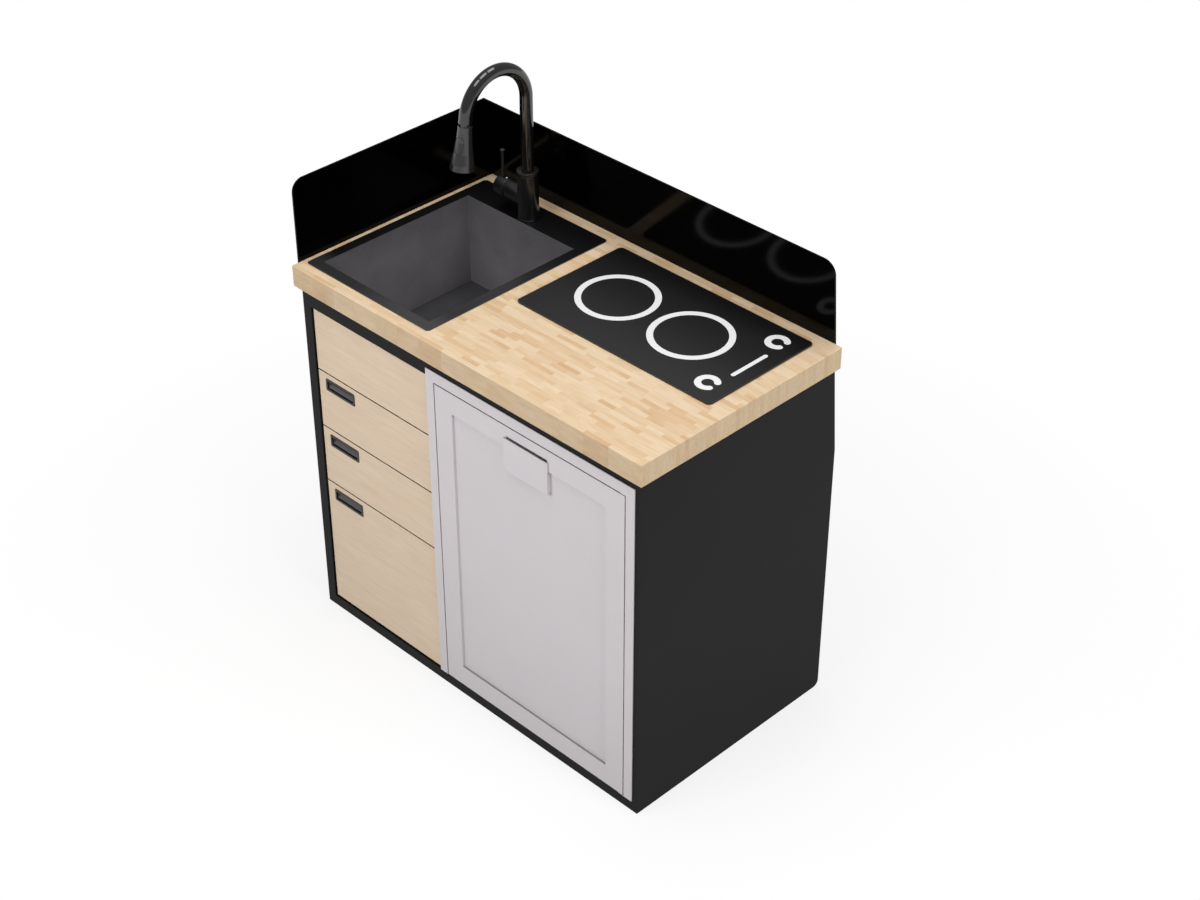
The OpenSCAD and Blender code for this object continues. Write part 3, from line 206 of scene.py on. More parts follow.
def stave_group():
    """Butcher block: strips along X, cut into short staves that each have a tone.

    Strip r is floor(y / width). A stave's number along it is
    floor((x + shift(r)) / (length * stretch(r))), with both from a hash of r. On upright
    faces, where staves show as long bands, Upright Calm mixes in one even tone.
    """
    graph, ins, outs = new_group(
        "staves",
        [("Length", "Float", 0.07), ("Width", "Float", 0.012),
         ("Pale", "Color", None), ("Mid", "Color", None), ("Deep", "Color", None),
         ("Upright Calm", "Float", 0.0)],
        [("Color", "Color"), ("Height", "Float")])
    shortest, longest, most_shift, joint_wobble = 0.7, 1.35, 7.0, 0.002
    pale_to_mid, mid_to_deep = (0.3, 0.75), (0.78, 1.1)
    stave_share, broad_share = 0.75, 0.5
    pale_line, dark_line = 1.06, 0.9
    grain_stretch, broad_stretch = (6, 90, 30), (1, 3, 1)
    place = graph.place()
    x, y, _ = graph.split(place)
    wobble = graph.noise(place, scale=60.0, detail=1.0)
    x = graph.plus(x, graph.times(wobble, joint_wobble))
    strip = graph.math("FLOOR", graph.math("DIVIDE", y, ins["Width"]))
    strip_hash = graph.node("ShaderNodeTexWhiteNoise", {"W": strip},
                            noise_dimensions="1D").outputs["Value"]
    length = graph.times(ins["Length"], graph.span(strip_hash, 0.0, 1.0, shortest, longest))
    moved = graph.plus(x, graph.times(strip_hash, most_shift))
    number = graph.math("FLOOR", graph.math("DIVIDE", moved, length))
    stave = graph.node("ShaderNodeCombineXYZ", {0: strip, 1: number}).outputs[0]
    stave_hash = graph.node("ShaderNodeTexWhiteNoise", {"Vector": stave},
                            noise_dimensions="2D").outputs
    own_place = graph.node("ShaderNodeVectorMath", {0: place, 1: stave_hash["Color"]},
                           operation="ADD").outputs[0]
    grain = graph.noise(graph.stretch(own_place, grain_stretch), scale=3.0, detail=4.0,
                        rough=0.65)
    broad = graph.noise(graph.stretch(own_place, broad_stretch), scale=14.0)
    tone = graph.plus(graph.times(stave_hash["Value"], stave_share),
                      graph.times(broad, broad_share))
    pale_mid = graph.mix(graph.span(tone, *pale_to_mid), ins["Pale"], ins["Mid"])
    wood = graph.mix(graph.span(tone, *mid_to_deep), pale_mid, ins["Deep"])
    level = graph.span(graph.math("ABSOLUTE", graph.up()), UPRIGHT_BELOW, LEVEL_ABOVE)
    stands = graph.minus(1.0, level)
    calm = graph.mix(graph.span(broad, NOISE_LOW, NOISE_HIGH), ins["Pale"], ins["Mid"])
    wood = graph.mix(graph.times(stands, ins["Upright Calm"]), wood, calm)
    line = graph.span(grain, 0.35, 0.75, pale_line, dark_line)
    put_out(graph, outs, Color=graph.tint(wood, line), Height=grain)
    return graph.tree


def level_grain_group():
    """Fine straight grain along X, as on a veneered or laminated front.

    Two noises drawn out along X, a fine one and a broad one, add up to the wood's tone.
    """
    graph, ins, outs = new_group(
        "level grain",
        [("Pale", "Color", None), ("Deep", "Color", None), ("Fineness", "Float", 1.0)],
        [("Color", "Color"), ("Height", "Float")])
    fine_share, broad_share = 0.7, 0.3
    pale_to_deep = (0.32, 0.68)
    fine_stretch, broad_stretch = (1.2, 60, 60), (0.8, 9, 9)
    place = graph.place()
    drawn = graph.node("ShaderNodeVectorMath",
                       {0: graph.stretch(place, fine_stretch), "Scale": ins["Fineness"]},
                       operation="SCALE").outputs[0]
    fine = graph.noise(drawn, scale=12.0, detail=3.0, rough=0.6)
    broad = graph.noise(graph.stretch(place, broad_stretch), scale=6.0)
    tone = graph.plus(graph.times(fine, fine_share), graph.times(broad, broad_share))
    wood = graph.mix(graph.span(tone, *pale_to_deep), ins["Pale"], ins["Deep"])
    put_out(graph, outs, Color=wood, Height=fine)
    return graph.tree


def brushed_group():
    """Straight brush marks; Along stretches them in X, Y and Z.

    The base colour is multiplied by 1 + Depth (mark - 1/2).
    """
    graph, ins, outs = new_group(
        "brushed",
        [("Base", "Color", None), ("Along", "Vector", (1, 1, 1)), ("Depth", "Float", 0.2)],
        [("Color", "Color"), ("Height", "Float")])
    drawn = graph.node("ShaderNodeVectorMath", {0: graph.place(), 1: ins["Along"]},
                       operation="MULTIPLY").outputs[0]
    mark = graph.noise(drawn, scale=1.0, detail=3.0, rough=0.7)
    change = graph.plus(1.0, graph.times(graph.minus(mark, 0.5), ins["Depth"]))
    put_out(graph, outs, Color=graph.tint(ins["Base"], change), Height=mark)
    return graph.tree


def facing_group():
    """1 where a surface faces up, 0 where it stands upright, -1 where it faces down."""
    graph, _, outs = new_group("facing", [], [("Up", "Float")])
    put_out(graph, outs, Up=graph.up())
    return graph.tree


GROUPS = {"facing": facing_group(), "mottle": mottle_group(), "staves": stave_group(),
          "level grain": level_grain_group(), "brushed": brushed_group()}


# ---------------------------------------------------------------- materials

# Places, from the frame, at which a finish or a painted shade changes. The painted shade on
# the level faces at the front of the door and of the drawer fronts reaches back only a
# little, and the painted shade towards the floor fades out at a set height.
DECK_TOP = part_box("sink")[1][2]
DECK_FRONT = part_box("sink")[0][1]
BOWL_SHEET = 0.0015
BOWL_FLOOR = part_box("sink")[0][2] + BOWL_SHEET
DOOR_SHADE_DEPTH = 0.006
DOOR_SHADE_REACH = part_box("fridge_door")[0][1] + DOOR_SHADE_DEPTH
FRONT_SHADE_DEPTH = 0.004
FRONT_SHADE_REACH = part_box("drawer_front_1")[0][1] + FRONT_SHADE_DEPTH
FLOOR_SHADE_HEIGHT = 0.4

# Sink: finishes and painted tones, how far a finish reaches past the deck's or floor's
# height, and distances behind the deck's front edge. The bowl's walls take painted light,
# its floor painted shade, and the deck's front a painted reflection.
DECK_BLACK = rgb(10, 10, 11)
DECK_PAINTED_REFLECTION = rgb(43, 42, 43)
BOWL_GREY = rgb(92, 90, 93)
DECK_ROUGHNESS = 0.3
DECK_SHINE = 1.0
BOWL_ROUGHNESS = 0.55
BOWL_SHINE = 0.2
DECK_SKIN = 0.0004
FLOOR_SKIN = 0.0006
BOWL_FLOOR_PAINTED_SHADE = 0.62
BOWL_RIM_PAINTED_TONE = 0.86
BOWL_DEPTH_PAINTED_LIGHT = 1.8
BOWL_FRONT_PAINTED_LIGHT = 0.9
FRONT_PAINTED_LIGHT_END = 0.42
FRONT_PAINTED_LIGHT_FULL = 0.05
REFLECTION_STRIP_FULL = 0.028
REFLECTION_STRIP_END = 0.07

# Drawer pull: finishes, painted shade and painted light in its cup, depths behind its bezel,
# and the width of its rim.
BEZEL_GREY = rgb(26, 26, 27)
CUP_PAINTED_SHADE = rgb(3, 3, 3)
CUP_PAINTED_LIGHT = rgb(106, 103, 105)
CUP_START = 0.0004
CUP_EDGE = 0.0034
CUP_FLOOR_END = 0.0112
CUP_RIM = 0.005
BEZEL_SHINE = 0.5
CUP_SHINE = 0.1


def new_material(name):
    """An empty node material and its Graph."""
    material = bpy.data.materials.new(name)
    material.use_nodes = True
    material.node_tree.nodes.clear()
    return material, Graph(material.node_tree)


def show(graph, shader, kind="ShaderNodeOutputMaterial"):
    """Links a shader to a new output node."""
    graph.node(kind, {"Surface": shader.outputs[0]})


def surface(name, group, settings, roughness=0.5, spread=0.08, metallic=0.0, specular=0.5,
            bump=0.0, bump_reach=0.0002, upright=1.0, level=1.0, reach=None, foot=1.0):
    """A Principled material whose colour, gloss and bumps come from one shader group.

    The roughness varies by spread with the group's Height. upright and level are painted-shade
    tones that multiply the colour of upright and level faces, the level ones only up to
    y = reach if it is given. foot is a painted shade at the floor that fades out upwards.
    """
    material, graph = new_material(name)
    pattern = graph.group(group, settings)
    gloss = graph.span(pattern["Height"], NOISE_LOW, NOISE_HIGH, roughness - spread,
                       roughness + spread)
    colour = pattern["Color"]
    # Painted shade: upright and level faces each darkened by their own tone.
    if upright != level:
        flat = graph.math("ABSOLUTE", graph.group("facing")["Up"])
        if reach is not None:
            y = graph.split(graph.place())[1]
            flat = graph.times(flat, graph.math("LESS_THAN", y, reach))
        tone = graph.span(flat, UPRIGHT_BELOW, LEVEL_ABOVE, upright, level)
        colour = graph.tint(colour, tone)
    # Painted shade, darkest at the floor and fading out upwards.
    if foot != 1.0:
        height = graph.split(graph.place())[2]
        colour = graph.tint(colour, graph.span(height, 0.0, FLOOR_SHADE_HEIGHT, foot, 1.0))
    shader = graph.node("ShaderNodeBsdfPrincipled",
                        {"Base Color": colour, "Roughness": gloss, "Metallic": metallic,
                         "Specular IOR Level": specular})
    if bump:
        rise = graph.node("ShaderNodeBump", {"Strength": bump, "Distance": bump_reach,
                                             "Height": pattern["Height"]})
        graph.tree.links.new(rise.outputs[0], shader.inputs["Normal"])
    show(graph, shader)
    return material


def plain(name, colour, roughness, cloud=0.06, speckle=0.05, grit=900.0, **more):
    """A material of one colour that varies a little, by the mottle group."""
    return surface(name, "mottle", {"Base": colour, "Cloud": cloud, "Speckle": speckle,
                                    "Speckle Scale": grit}, roughness, **more)


def sink_material(name):
    """Black deck and clouded dark grey bowl, split at a height just under the deck.

    The bowl's walls carry painted light and shade: a wall's tone is rim + low s^2, times
    1 + near s n, with s from 0 at the deck to 1 at the bowl's floor and n from 0 to 1
    towards the front. The floor takes a darker painted shade, and the deck a paler painted
    reflection at its front.
    """
    material, graph = new_material(name)
    bowl = graph.group("mottle", {"Base": BOWL_GREY, "Cloud": 0.3, "Cloud Scale": 11.0,
                                  "Speckle": 0.12, "Speckle Scale": 260.0})
    deck = graph.group("mottle", {"Base": DECK_BLACK, "Cloud": 0.1, "Speckle": 0.05})
    _, y, height = graph.split(graph.place())
    inside = graph.math("LESS_THAN", height, DECK_TOP - DECK_SKIN)
    # Painted light on the bowl's walls, growing with depth and towards the front, and painted shade on the bowl's
    # floor.
    sunk = graph.span(height, DECK_TOP, BOWL_FLOOR)
    near = graph.span(y, DECK_FRONT + FRONT_PAINTED_LIGHT_END, DECK_FRONT + FRONT_PAINTED_LIGHT_FULL)
    wall = graph.math("MULTIPLY_ADD", graph.times(sunk, sunk), BOWL_DEPTH_PAINTED_LIGHT, BOWL_RIM_PAINTED_TONE)
    wall = graph.times(wall, graph.math("MULTIPLY_ADD", graph.times(near, sunk),
                                        BOWL_FRONT_PAINTED_LIGHT, 1.0))
    on_floor = graph.math("LESS_THAN", height, BOWL_FLOOR + FLOOR_SKIN)
    tone = graph.math("MULTIPLY_ADD", on_floor, graph.minus(BOWL_FLOOR_PAINTED_SHADE, wall), wall)
    bowl_colour = graph.tint(bowl["Color"], tone)
    # Painted reflection: the deck is paler along its front edge.
    pale = graph.span(y, DECK_FRONT + REFLECTION_STRIP_FULL, DECK_FRONT + REFLECTION_STRIP_END, 1.0, 0.0)
    deck_colour = graph.mix(pale, deck["Color"], DECK_PAINTED_REFLECTION)
    gloss = graph.between(inside, DECK_ROUGHNESS, BOWL_ROUGHNESS)
    shine = graph.between(inside, DECK_SHINE, BOWL_SHINE)
    bump = graph.node("ShaderNodeBump", {"Strength": 0.1, "Distance": 0.0002,
                                         "Height": bowl["Height"]})
    show(graph, graph.node("ShaderNodeBsdfPrincipled",
                           {"Base Color": graph.mix(inside, deck_colour, bowl_colour),
                            "Roughness": gloss, "Specular IOR Level": shine,
                            "Normal": bump.outputs[0]}))
    return material


def pull_material(name):
    """Dark bezel, and a cup with painted shade along its edge and painted light inside.

    The painted light lies between the shaded edge and the cup's right end, and on faces that
    look up only as deep as CUP_FLOOR_END.
    """
    low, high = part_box("drawer_pull_1")
    no_end = 1.0
    material, graph = new_material(name)
    x, y, _ = graph.split(graph.place())
    depth = graph.minus(y, low[1])
    inside = graph.math("GREATER_THAN", depth, CUP_START)
    past_edge = graph.math("GREATER_THAN", depth, CUP_EDGE)
    looks_up = graph.math("GREATER_THAN", graph.group("facing")["Up"], UPRIGHT_BELOW)
    before_end = graph.math("LESS_THAN", depth,
                            graph.between(looks_up, no_end, CUP_FLOOR_END))
    left_of_end = graph.math("LESS_THAN", x, high[0] - CUP_RIM - CUP_EDGE)
    # Painted light on the cup's inside, with painted shade left along its edge and right end.
    pale = graph.times(graph.times(past_edge, before_end), left_of_end)
    cup = graph.mix(pale, CUP_PAINTED_SHADE, CUP_PAINTED_LIGHT)
    colour = graph.mix(inside, BEZEL_GREY, cup)
    mottle = graph.group("mottle", {"Base": (1, 1, 1, 1)})
    colour = graph.mix(1.0, colour, mottle["Color"], "MULTIPLY")
    shine = graph.between(inside, BEZEL_SHINE, CUP_SHINE)
    show(graph, graph.node("ShaderNodeBsdfPrincipled",
                           {"Base Color": colour, "Roughness": 0.45,
                            "Specular IOR Level": shine}))
    return material


# Painted shade: level faces near the door's front are much darker, and the fridge darkens a little towards the
# floor.
FRIDGE_LOOK = {"colour": rgb(215, 209, 212), "cloud": 0.03, "speckle": 0.02, "bump": 0.08,
               "foot": 0.93, "level": 0.35, "reach": DOOR_SHADE_REACH}
PLAIN_LOOKS = {
    # Painted shade: the black boards darken towards the floor.
    "black_board": {"colour": rgb(27, 27, 27), "roughness": 0.5, "cloud": 0.1,
                    "bump": 0.15, "specular": 0.08, "foot": 0.55},
    "rail_board": {"colour": rgb(62, 58, 54), "roughness": 0.7, "cloud": 0.15, "bump": 0.2},
    "gloss_black": {"colour": rgb(1, 1, 1), "roughness": 0.12, "spread": 0.02,
                    "specular": 0.09},
    "black_steel": {"colour": rgb(22, 22, 23), "roughness": 0.45, "bump": 0.1},
    "waste_plastic": {"colour": rgb(28, 28, 29), "roughness": 0.5, "bump": 0.1},
    "tap_black": {"colour": rgb(13, 13, 14), "roughness": 0.19, "spread": 0.02,
                  "specular": 0.9},
    "tap_gloss": {"colour": rgb(13, 13, 14), "roughness": 0.11, "spread": 0.015,
                  "specular": 0.9},
    "tap_rod": {"colour": rgb(32, 32, 33), "roughness": 0.36, "spread": 0.02,
                "specular": 0.9},
    "tap_satin": {"colour": rgb(15, 15, 16), "roughness": 0.29, "spread": 0.02,
                  "specular": 0.9},
    # On the valve ball, the lever's gap ring and the head's button line, seam_black's near black paints the shade
    # in those gaps.
    "seam_black": {"colour": rgb(5, 5, 5), "roughness": 0.6},
    "screw_steel": {"colour": rgb(215, 215, 216), "roughness": 0.4},
    "hose": {"colour": rgb(40, 40, 42), "roughness": 0.6, "bump": 0.3, "grit": 500.0,
             "bump_reach": 0.0006},
    "head_grey": {"colour": rgb(30, 30, 32), "roughness": 0.2, "spread": 0.03,
                  "specular": 0.9},
    "hob_glass": {"colour": rgb(12, 12, 13), "roughness": 0.38, "spread": 0.03,
                  "specular": 0.75},
    "print_white": {"colour": rgb(230, 229, 230), "roughness": 0.4},
    "fridge_grey": {**FRIDGE_LOOK, "roughness": 0.5},
    "fridge_plastic": {**FRIDGE_LOOK, "roughness": 0.45},
    "liner_white": {"colour": rgb(232, 234, 235), "roughness": 0.35, "cloud": 0.02,
                    "speckle": 0.02},
    "gasket": {"colour": rgb(120, 120, 122), "roughness": 0.6, "bump": 0.1},
    "clear_plastic": {"colour": rgb(214, 226, 230), "roughness": 0.25, "cloud": 0.04},
}
WOOD_LOOKS = {
    # Painted shade: the worktop's upright faces take a darker tone than its level ones.
    "butcher_block": {"group": "staves", "roughness": 0.5, "bump": 0.12,
                      "upright": 0.88, "level": 0.97,
                      "settings": {"Length": 0.06, "Width": 0.0118,
                                   "Pale": rgb(223, 199, 167), "Mid": rgb(215, 187, 151),
                                   "Deep": rgb(205, 168, 126), "Upright Calm": 0.6}},
    # Painted shade: level faces just behind the drawer fronts' faces, seen through the gaps, are near black.
    "front_wood": {"group": "level grain", "roughness": 0.55, "bump": 0.1,
                   "level": 0.02, "reach": FRONT_SHADE_REACH,
                   "settings": {"Pale": rgb(236, 215, 191), "Deep": rgb(218, 195, 168)}},
    "box_wood": {"group": "level grain", "roughness": 0.6, "bump": 0.1,
                 "settings": {"Pale": rgb(226, 209, 180), "Deep": rgb(200, 178, 144),
                              "Fineness": 0.6}},
}
METAL_LOOKS = {
    "runner_steel": {"roughness": 0.35, "metallic": 0.9, "bump": 0.1,
                     "settings": {"Base": rgb(190, 190, 192), "Along": (900, 6, 900),
                                  "Depth": 0.3}},
    "dark_steel": {"roughness": 0.3, "metallic": 0.9,
                   "settings": {"Base": rgb(120, 120, 123), "Along": (300, 300, 20),
                                "Depth": 0.3}},
    "brass": {"roughness": 0.3, "metallic": 1.0,
              "settings": {"Base": rgb(190, 160, 100), "Along": (40, 40, 900),
                           "Depth": 0.25}},
    "tray_steel": {"roughness": 0.4, "metallic": 0.9,
                   "settings": {"Base": rgb(170, 172, 175), "Along": (20, 400, 400),
                                "Depth": 0.3}},
    "coil_copper": {"roughness": 0.35, "metallic": 1.0,
                    "settings": {"Base": rgb(190, 120, 80), "Along": (400, 400, 40),
                                 "Depth": 0.3}},
    "freezer_alu": {"roughness": 0.35, "metallic": 0.9,
                    "settings": {"Base": rgb(205, 208, 210), "Along": (30, 500, 500),
                                 "Depth": 0.2}},
}
MATERIALS = {
    "sink_black": sink_material("sink_black"),
    "pull_plastic": pull_material("pull_plastic"),
    **{name: plain(name, **look) for name, look in PLAIN_LOOKS.items()},
    **{name: surface(name, specular=0.3, **look) for name, look in WOOD_LOOKS.items()},
    **{name: surface(name, "brushed", **look) for name, look in METAL_LOOKS.items()},
}


def dress_frame():
    """Each CAD node takes the material of its slot in the record."""
    for part in frame["record"]["subparts"]:
        obj = nodes[part["node"]]
        obj.data.materials.clear()
        obj.data.materials.append(MATERIALS[part["material_slot"]])


dress_frame()
# The ball shows only in the gap behind the lever's cap; its near black paints the shade in that gap as a dark
# line.
nodes["valve_ball"].data.materials[0] = MATERIALS["seam_black"]


# ---------------------------------------------------------------- surfaces

# Turns that set a profile's own Z axis upright or pointing left.
UPRIGHT = np.eye(3)
OUT_LEFT = np.array([[0, 0, -1], [1, 0, 0], [0, -1, 0]])

# A row of points narrower than this is a pole.
POLE_WIDTH = 1e-7


def fillet(corners, radius, steps=4):
    """A profile's corners, all but the first and last rounded.

    Corner c between a and b becomes (1-t)^2 p + 2 t (1-t) c + t^2 q for t from 0 to 1,
    with p and q at radius from c towards a and b, or halfway where that is nearer.
    """
    corners = np.array(corners, float)
    t = np.linspace(0, 1, steps + 1)[:, None]
    path = [corners[:1]]
    for a, c, b in zip(corners, corners[1:], corners[2:]):
        p = c + (a - c) * min(radius / np.linalg.norm(a - c), 0.5)
        q = c + (b - c) * min(radius / np.linalg.norm(b - c), 0.5)
        path.append((1 - t) ** 2 * p + 2 * t * (1 - t) * c + t ** 2 * q)
    return np.vstack(path + [corners[-1:]])


def ball_arc(centre, radius, r_from, r_to, side, steps=10):
    """Profile points on a sphere about (0, centre).

    At radius r the height is centre + side * sqrt(radius^2 - r^2).
    """
    r = np.linspace(r_from, r_to, steps)
    return np.stack([r, centre + side * np.sqrt(radius ** 2 - r ** 2)], 1)


def skin(rows, closed=False):
    """Points and faces of a skin over a grid of rows of points.

    Face k of a band joins points k and k + 1 of two rows that follow each other. A row
    that shrinks to one place is a pole: it keeps one point and its faces are triangles.
    """
    count, sides = rows.shape[:2]
    pole = np.ptp(rows, axis=1).max(axis=1) < POLE_WIDTH
    index = np.arange(count * sides).reshape(count, sides)
    index[pole] = index[pole, :1]
    kept, index = np.unique(index, return_inverse=True)
    index = index.reshape(count, sides)
    high, high_pole = np.roll(index, -1, axis=0), np.roll(pole, -1)
    bands = np.stack([index, np.roll(index, -1, axis=1), np.roll(high, -1, axis=1), high], 2)
    faces = []
    for k in range(count if closed else count - 1):
        corners = [0, 2, 3] if pole[k] else [0, 1, 2] if high_pole[k] else [0, 1, 2, 3]
        faces += bands[k][:, corners].tolist()
    return rows.reshape(-1, 3)[kept], faces


def spin(profile, place, turn, sides=96, closed=False):
    """A skin over a profile of (radius, height) turned about its Z axis.

    Angle a takes (r, h) to place + turn (r cos a, r sin a, h). The profile runs outward
    along the bottom and up the outside.
    """
    a = np.linspace(0, 2 * np.pi, sides, endpoint=False)
    r, h = np.array(profile, float).T[:, :, None]
    rows = np.stack([r * np.cos(a), r * np.sin(a), h + np.zeros(sides)], 2)
    return skin(rows @ turn.T + place, closed)


def sweep(centres, across, normals, radii, sides=64):
    """A closed skin over rings: centre + r (across cos a + normal sin a)."""
    a = np.linspace(0, 2 * np.pi, sides, endpoint=False)[None, :, None]
    ring = across * np.cos(a) + normals[:, None] * np.sin(a)
    return skin(centres[:, None] + radii[:, None, None] * ring, closed=True)


def piece(name, form, material, body=None, smooth=35.0):
    """An object of a skin's points and faces that rides a body.

    Its edges are smooth up to an angle in degrees.
    """
    points, faces = form
    mesh = bpy.data.meshes.new(name)
    mesh.from_pydata(points.tolist(), [], faces)
    mesh.shade_smooth()
    mesh.set_sharp_from_angle(angle=math.radians(smooth))
    mesh.materials.append(MATERIALS[material])
    made = bpy.data.objects.new(name, mesh)
    bpy.context.scene.collection.objects.link(made)
    if body:
        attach(made, body)
    return made


# ---------------------------------------------------------------- tap

# Places on the tap, from its joints. The hub stands out to the left of the tap's axis.
joints = {joint["name"]: joint for joint in frame["joints"]}
TAP_X, TAP_Y, BODY_TOP = joints["spout_swivel"]["pos_m"]
HUB_Z = joints["lever_turn"]["pos_m"][2]
BALL_OUT = TAP_X - joints["lever_turn"]["pos_m"][0]
HUB_PLACE = (TAP_X, TAP_Y, HUB_Z)

# Body and collar.
FLANGE_R = 0.025
FLANGE_H = 0.003
FOOT_R = 0.024
FOOT_FLARE = 0.0003
FOOT_LOW = 0.005
FOOT_HIGH = 0.009
NECK_R = 0.0227
COLLAR_R = 0.0242
COLLAR_H = 0.007
COLLAR_BEVEL = 0.001
COLLAR_SEAM = 0.0002

# Neck: a riser, an arc and a straight mouth that flares a little.
SPOUT_R = 0.01425
SPOUT_BORE = 0.0112
SPOUT_START = BODY_TOP + 0.002
ARC_R = 0.0853
ARC_Z = DECK_TOP + 0.2909
ARC_END = math.radians(172)
RISER_STEPS = 12
ARC_STEPS = 97
MOUTH_LENGTH = 0.0195
MOUTH_FLARE = 0.0005
MOUTH_ROUND = 0.0003

# Hub, cap, rod and screw, with distances from the tap's axis or from the hub's.
HUB_R = 0.0228
HUB_START = 0.005
HUB_END = 0.0536
SOCKET_R = 0.02135
STEM_R = 0.0064
STEM_START = 0.025
CAP_START = 0.0598
CAP_END = 0.0883
CAP_BEVEL = 0.0006
SEAT_DEPTH = 0.002
ROD_OUT = 0.078325
ROD_R = 0.00325
ROD_TOP = 0.0875
ROD_CAP_R = 0.00525
ROD_CAP_H = 0.0026
SCREW_OUT = 0.0665
SCREW_R = 0.0024
SCREW_STAND = 0.0003
# A near-black ring in the gap between hub and cap paints the shade in that gap.
GAP_SHADE_R = HUB_R - 0.0002
GAP_SHADE_START = CAP_START - 0.00015
GAP_SHADE_END = CAP_START + 0.0003

# Spray head, with heights from its top, and its outline as (height, radius) pairs from
# the mouth up.
HEAD_SEAT = 0.0003
HEAD_TOP_R = 0.015
HEAD_OUTLINE = [(-0.096, 0.0266), (-0.0816, 0.025), (-0.0576, 0.0206), (-0.0336, 0.0174),
                (-0.014, 0.0156), (-0.001, 0.015)]
RIM_R = HEAD_TOP_R - 0.0014
RIM_FLARE = 0.0001
RIM_LOW = -0.0014
RIM_HIGH = 0.00015
BUTTON_R = 0.0097
BUTTON_HALF_H = 0.008
BUTTON_Z = -0.0393
BUTTON_AZ = math.radians(12)
LINE_R = 0.0004
LINE_SUNK = 0.0001
LINE_STEPS = 72
HOSE_R = 0.0064
HOSE_LOW = 0.0092
HOSE_HIGH = 0.025
HOSE_STEPS = 24


def tap_body():
    """The tapered body on its foot, and the hub for the lever, hollowed for the ball.

    Each is a profile turned about its axis. The socket's rim is where the ball's sphere
    meets the hub's end, at sqrt(R^2 - d^2) for an end at distance d from the centre.
    """
    top = BODY_TOP - DECK_TOP
    body = fillet([(0, 0), (FLANGE_R, 0), (FLANGE_R, FLANGE_H),
                   (FOOT_R + FOOT_FLARE, FOOT_LOW), (FOOT_R, FOOT_HIGH), (NECK_R, top),
                   (0, top)], radius=0.0008)
    rim = math.sqrt(SOCKET_R ** 2 - (BALL_OUT - HUB_END) ** 2)
    hub = np.vstack([fillet([(0, HUB_START), (HUB_R, HUB_START), (HUB_R, HUB_END),
                             (rim, HUB_END)], radius=0.0006),
                     ball_arc(BALL_OUT, SOCKET_R, rim, STEM_R, side=-1)[1:],
                     [(STEM_R, STEM_START), (0, STEM_START)]])
    piece("tap_hub_fine", spin(hub, HUB_PLACE, OUT_LEFT), "tap_satin", "cabinet")
    made = piece("tap_body_fine", spin(body, (TAP_X, TAP_Y, DECK_TOP), UPRIGHT),
                 "tap_black", "cabinet")
    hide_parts("tap_body")


def tap_spout():
    """The swan neck, hollow, up the riser, round the arc and down the mouth; the collar.

    At arc angle t, which is 0 all up the riser, the centre is (0, -R + R cos t, R sin t)
    from the riser and the ring's normal is (0, cos t, sin t). The mouth goes straight on
    from the arc's end by shares of its length. The skin runs back inside, at the bore.
    """
    riser = np.linspace(SPOUT_START, ARC_Z, RISER_STEPS)[:-1]
    share = np.array([0.3, 0.6, 0.98, 1.0])
    trim = np.array([0, 0, 0, MOUTH_ROUND])
    t = np.concatenate([np.zeros(len(riser)), np.linspace(0, ARC_END, ARC_STEPS)])
    rise = np.concatenate([riser, np.full(ARC_STEPS, ARC_Z)])
    centres = np.stack([np.full(len(t), TAP_X), TAP_Y - ARC_R + ARC_R * np.cos(t),
                        rise + ARC_R * np.sin(t)], 1)
    way = np.array([0, -math.sin(ARC_END), math.cos(ARC_END)])
    centres = np.vstack([centres, centres[-1] + way * MOUTH_LENGTH * share[:, None]])
    t = np.concatenate([t, np.full(len(share), ARC_END)])
    normals = np.stack([np.zeros(len(t)), np.cos(t), np.sin(t)], 1)
    outer = np.full(len(t), SPOUT_R)
    outer[-len(share):] += MOUTH_FLARE * share - trim
    inner = np.full(len(t), SPOUT_BORE)
    neck = sweep(np.vstack([centres, centres[::-1]]), np.array([1, 0, 0]),
                 np.vstack([normals, normals[::-1]]), np.concatenate([outer, inner]))
    collar = fillet([(0, 0), (COLLAR_R - COLLAR_BEVEL, 0), (COLLAR_R, COLLAR_BEVEL),
                     (COLLAR_R, COLLAR_H), (0, COLLAR_H)], radius=0.001)
    piece("tap_collar_fine", spin(collar, (TAP_X, TAP_Y, BODY_TOP + COLLAR_SEAM), UPRIGHT),
          "tap_satin", "spout")
    made = piece("tap_spout_fine", neck, "tap_gloss", "spout", smooth=50.0)
    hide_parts("tap_spout")


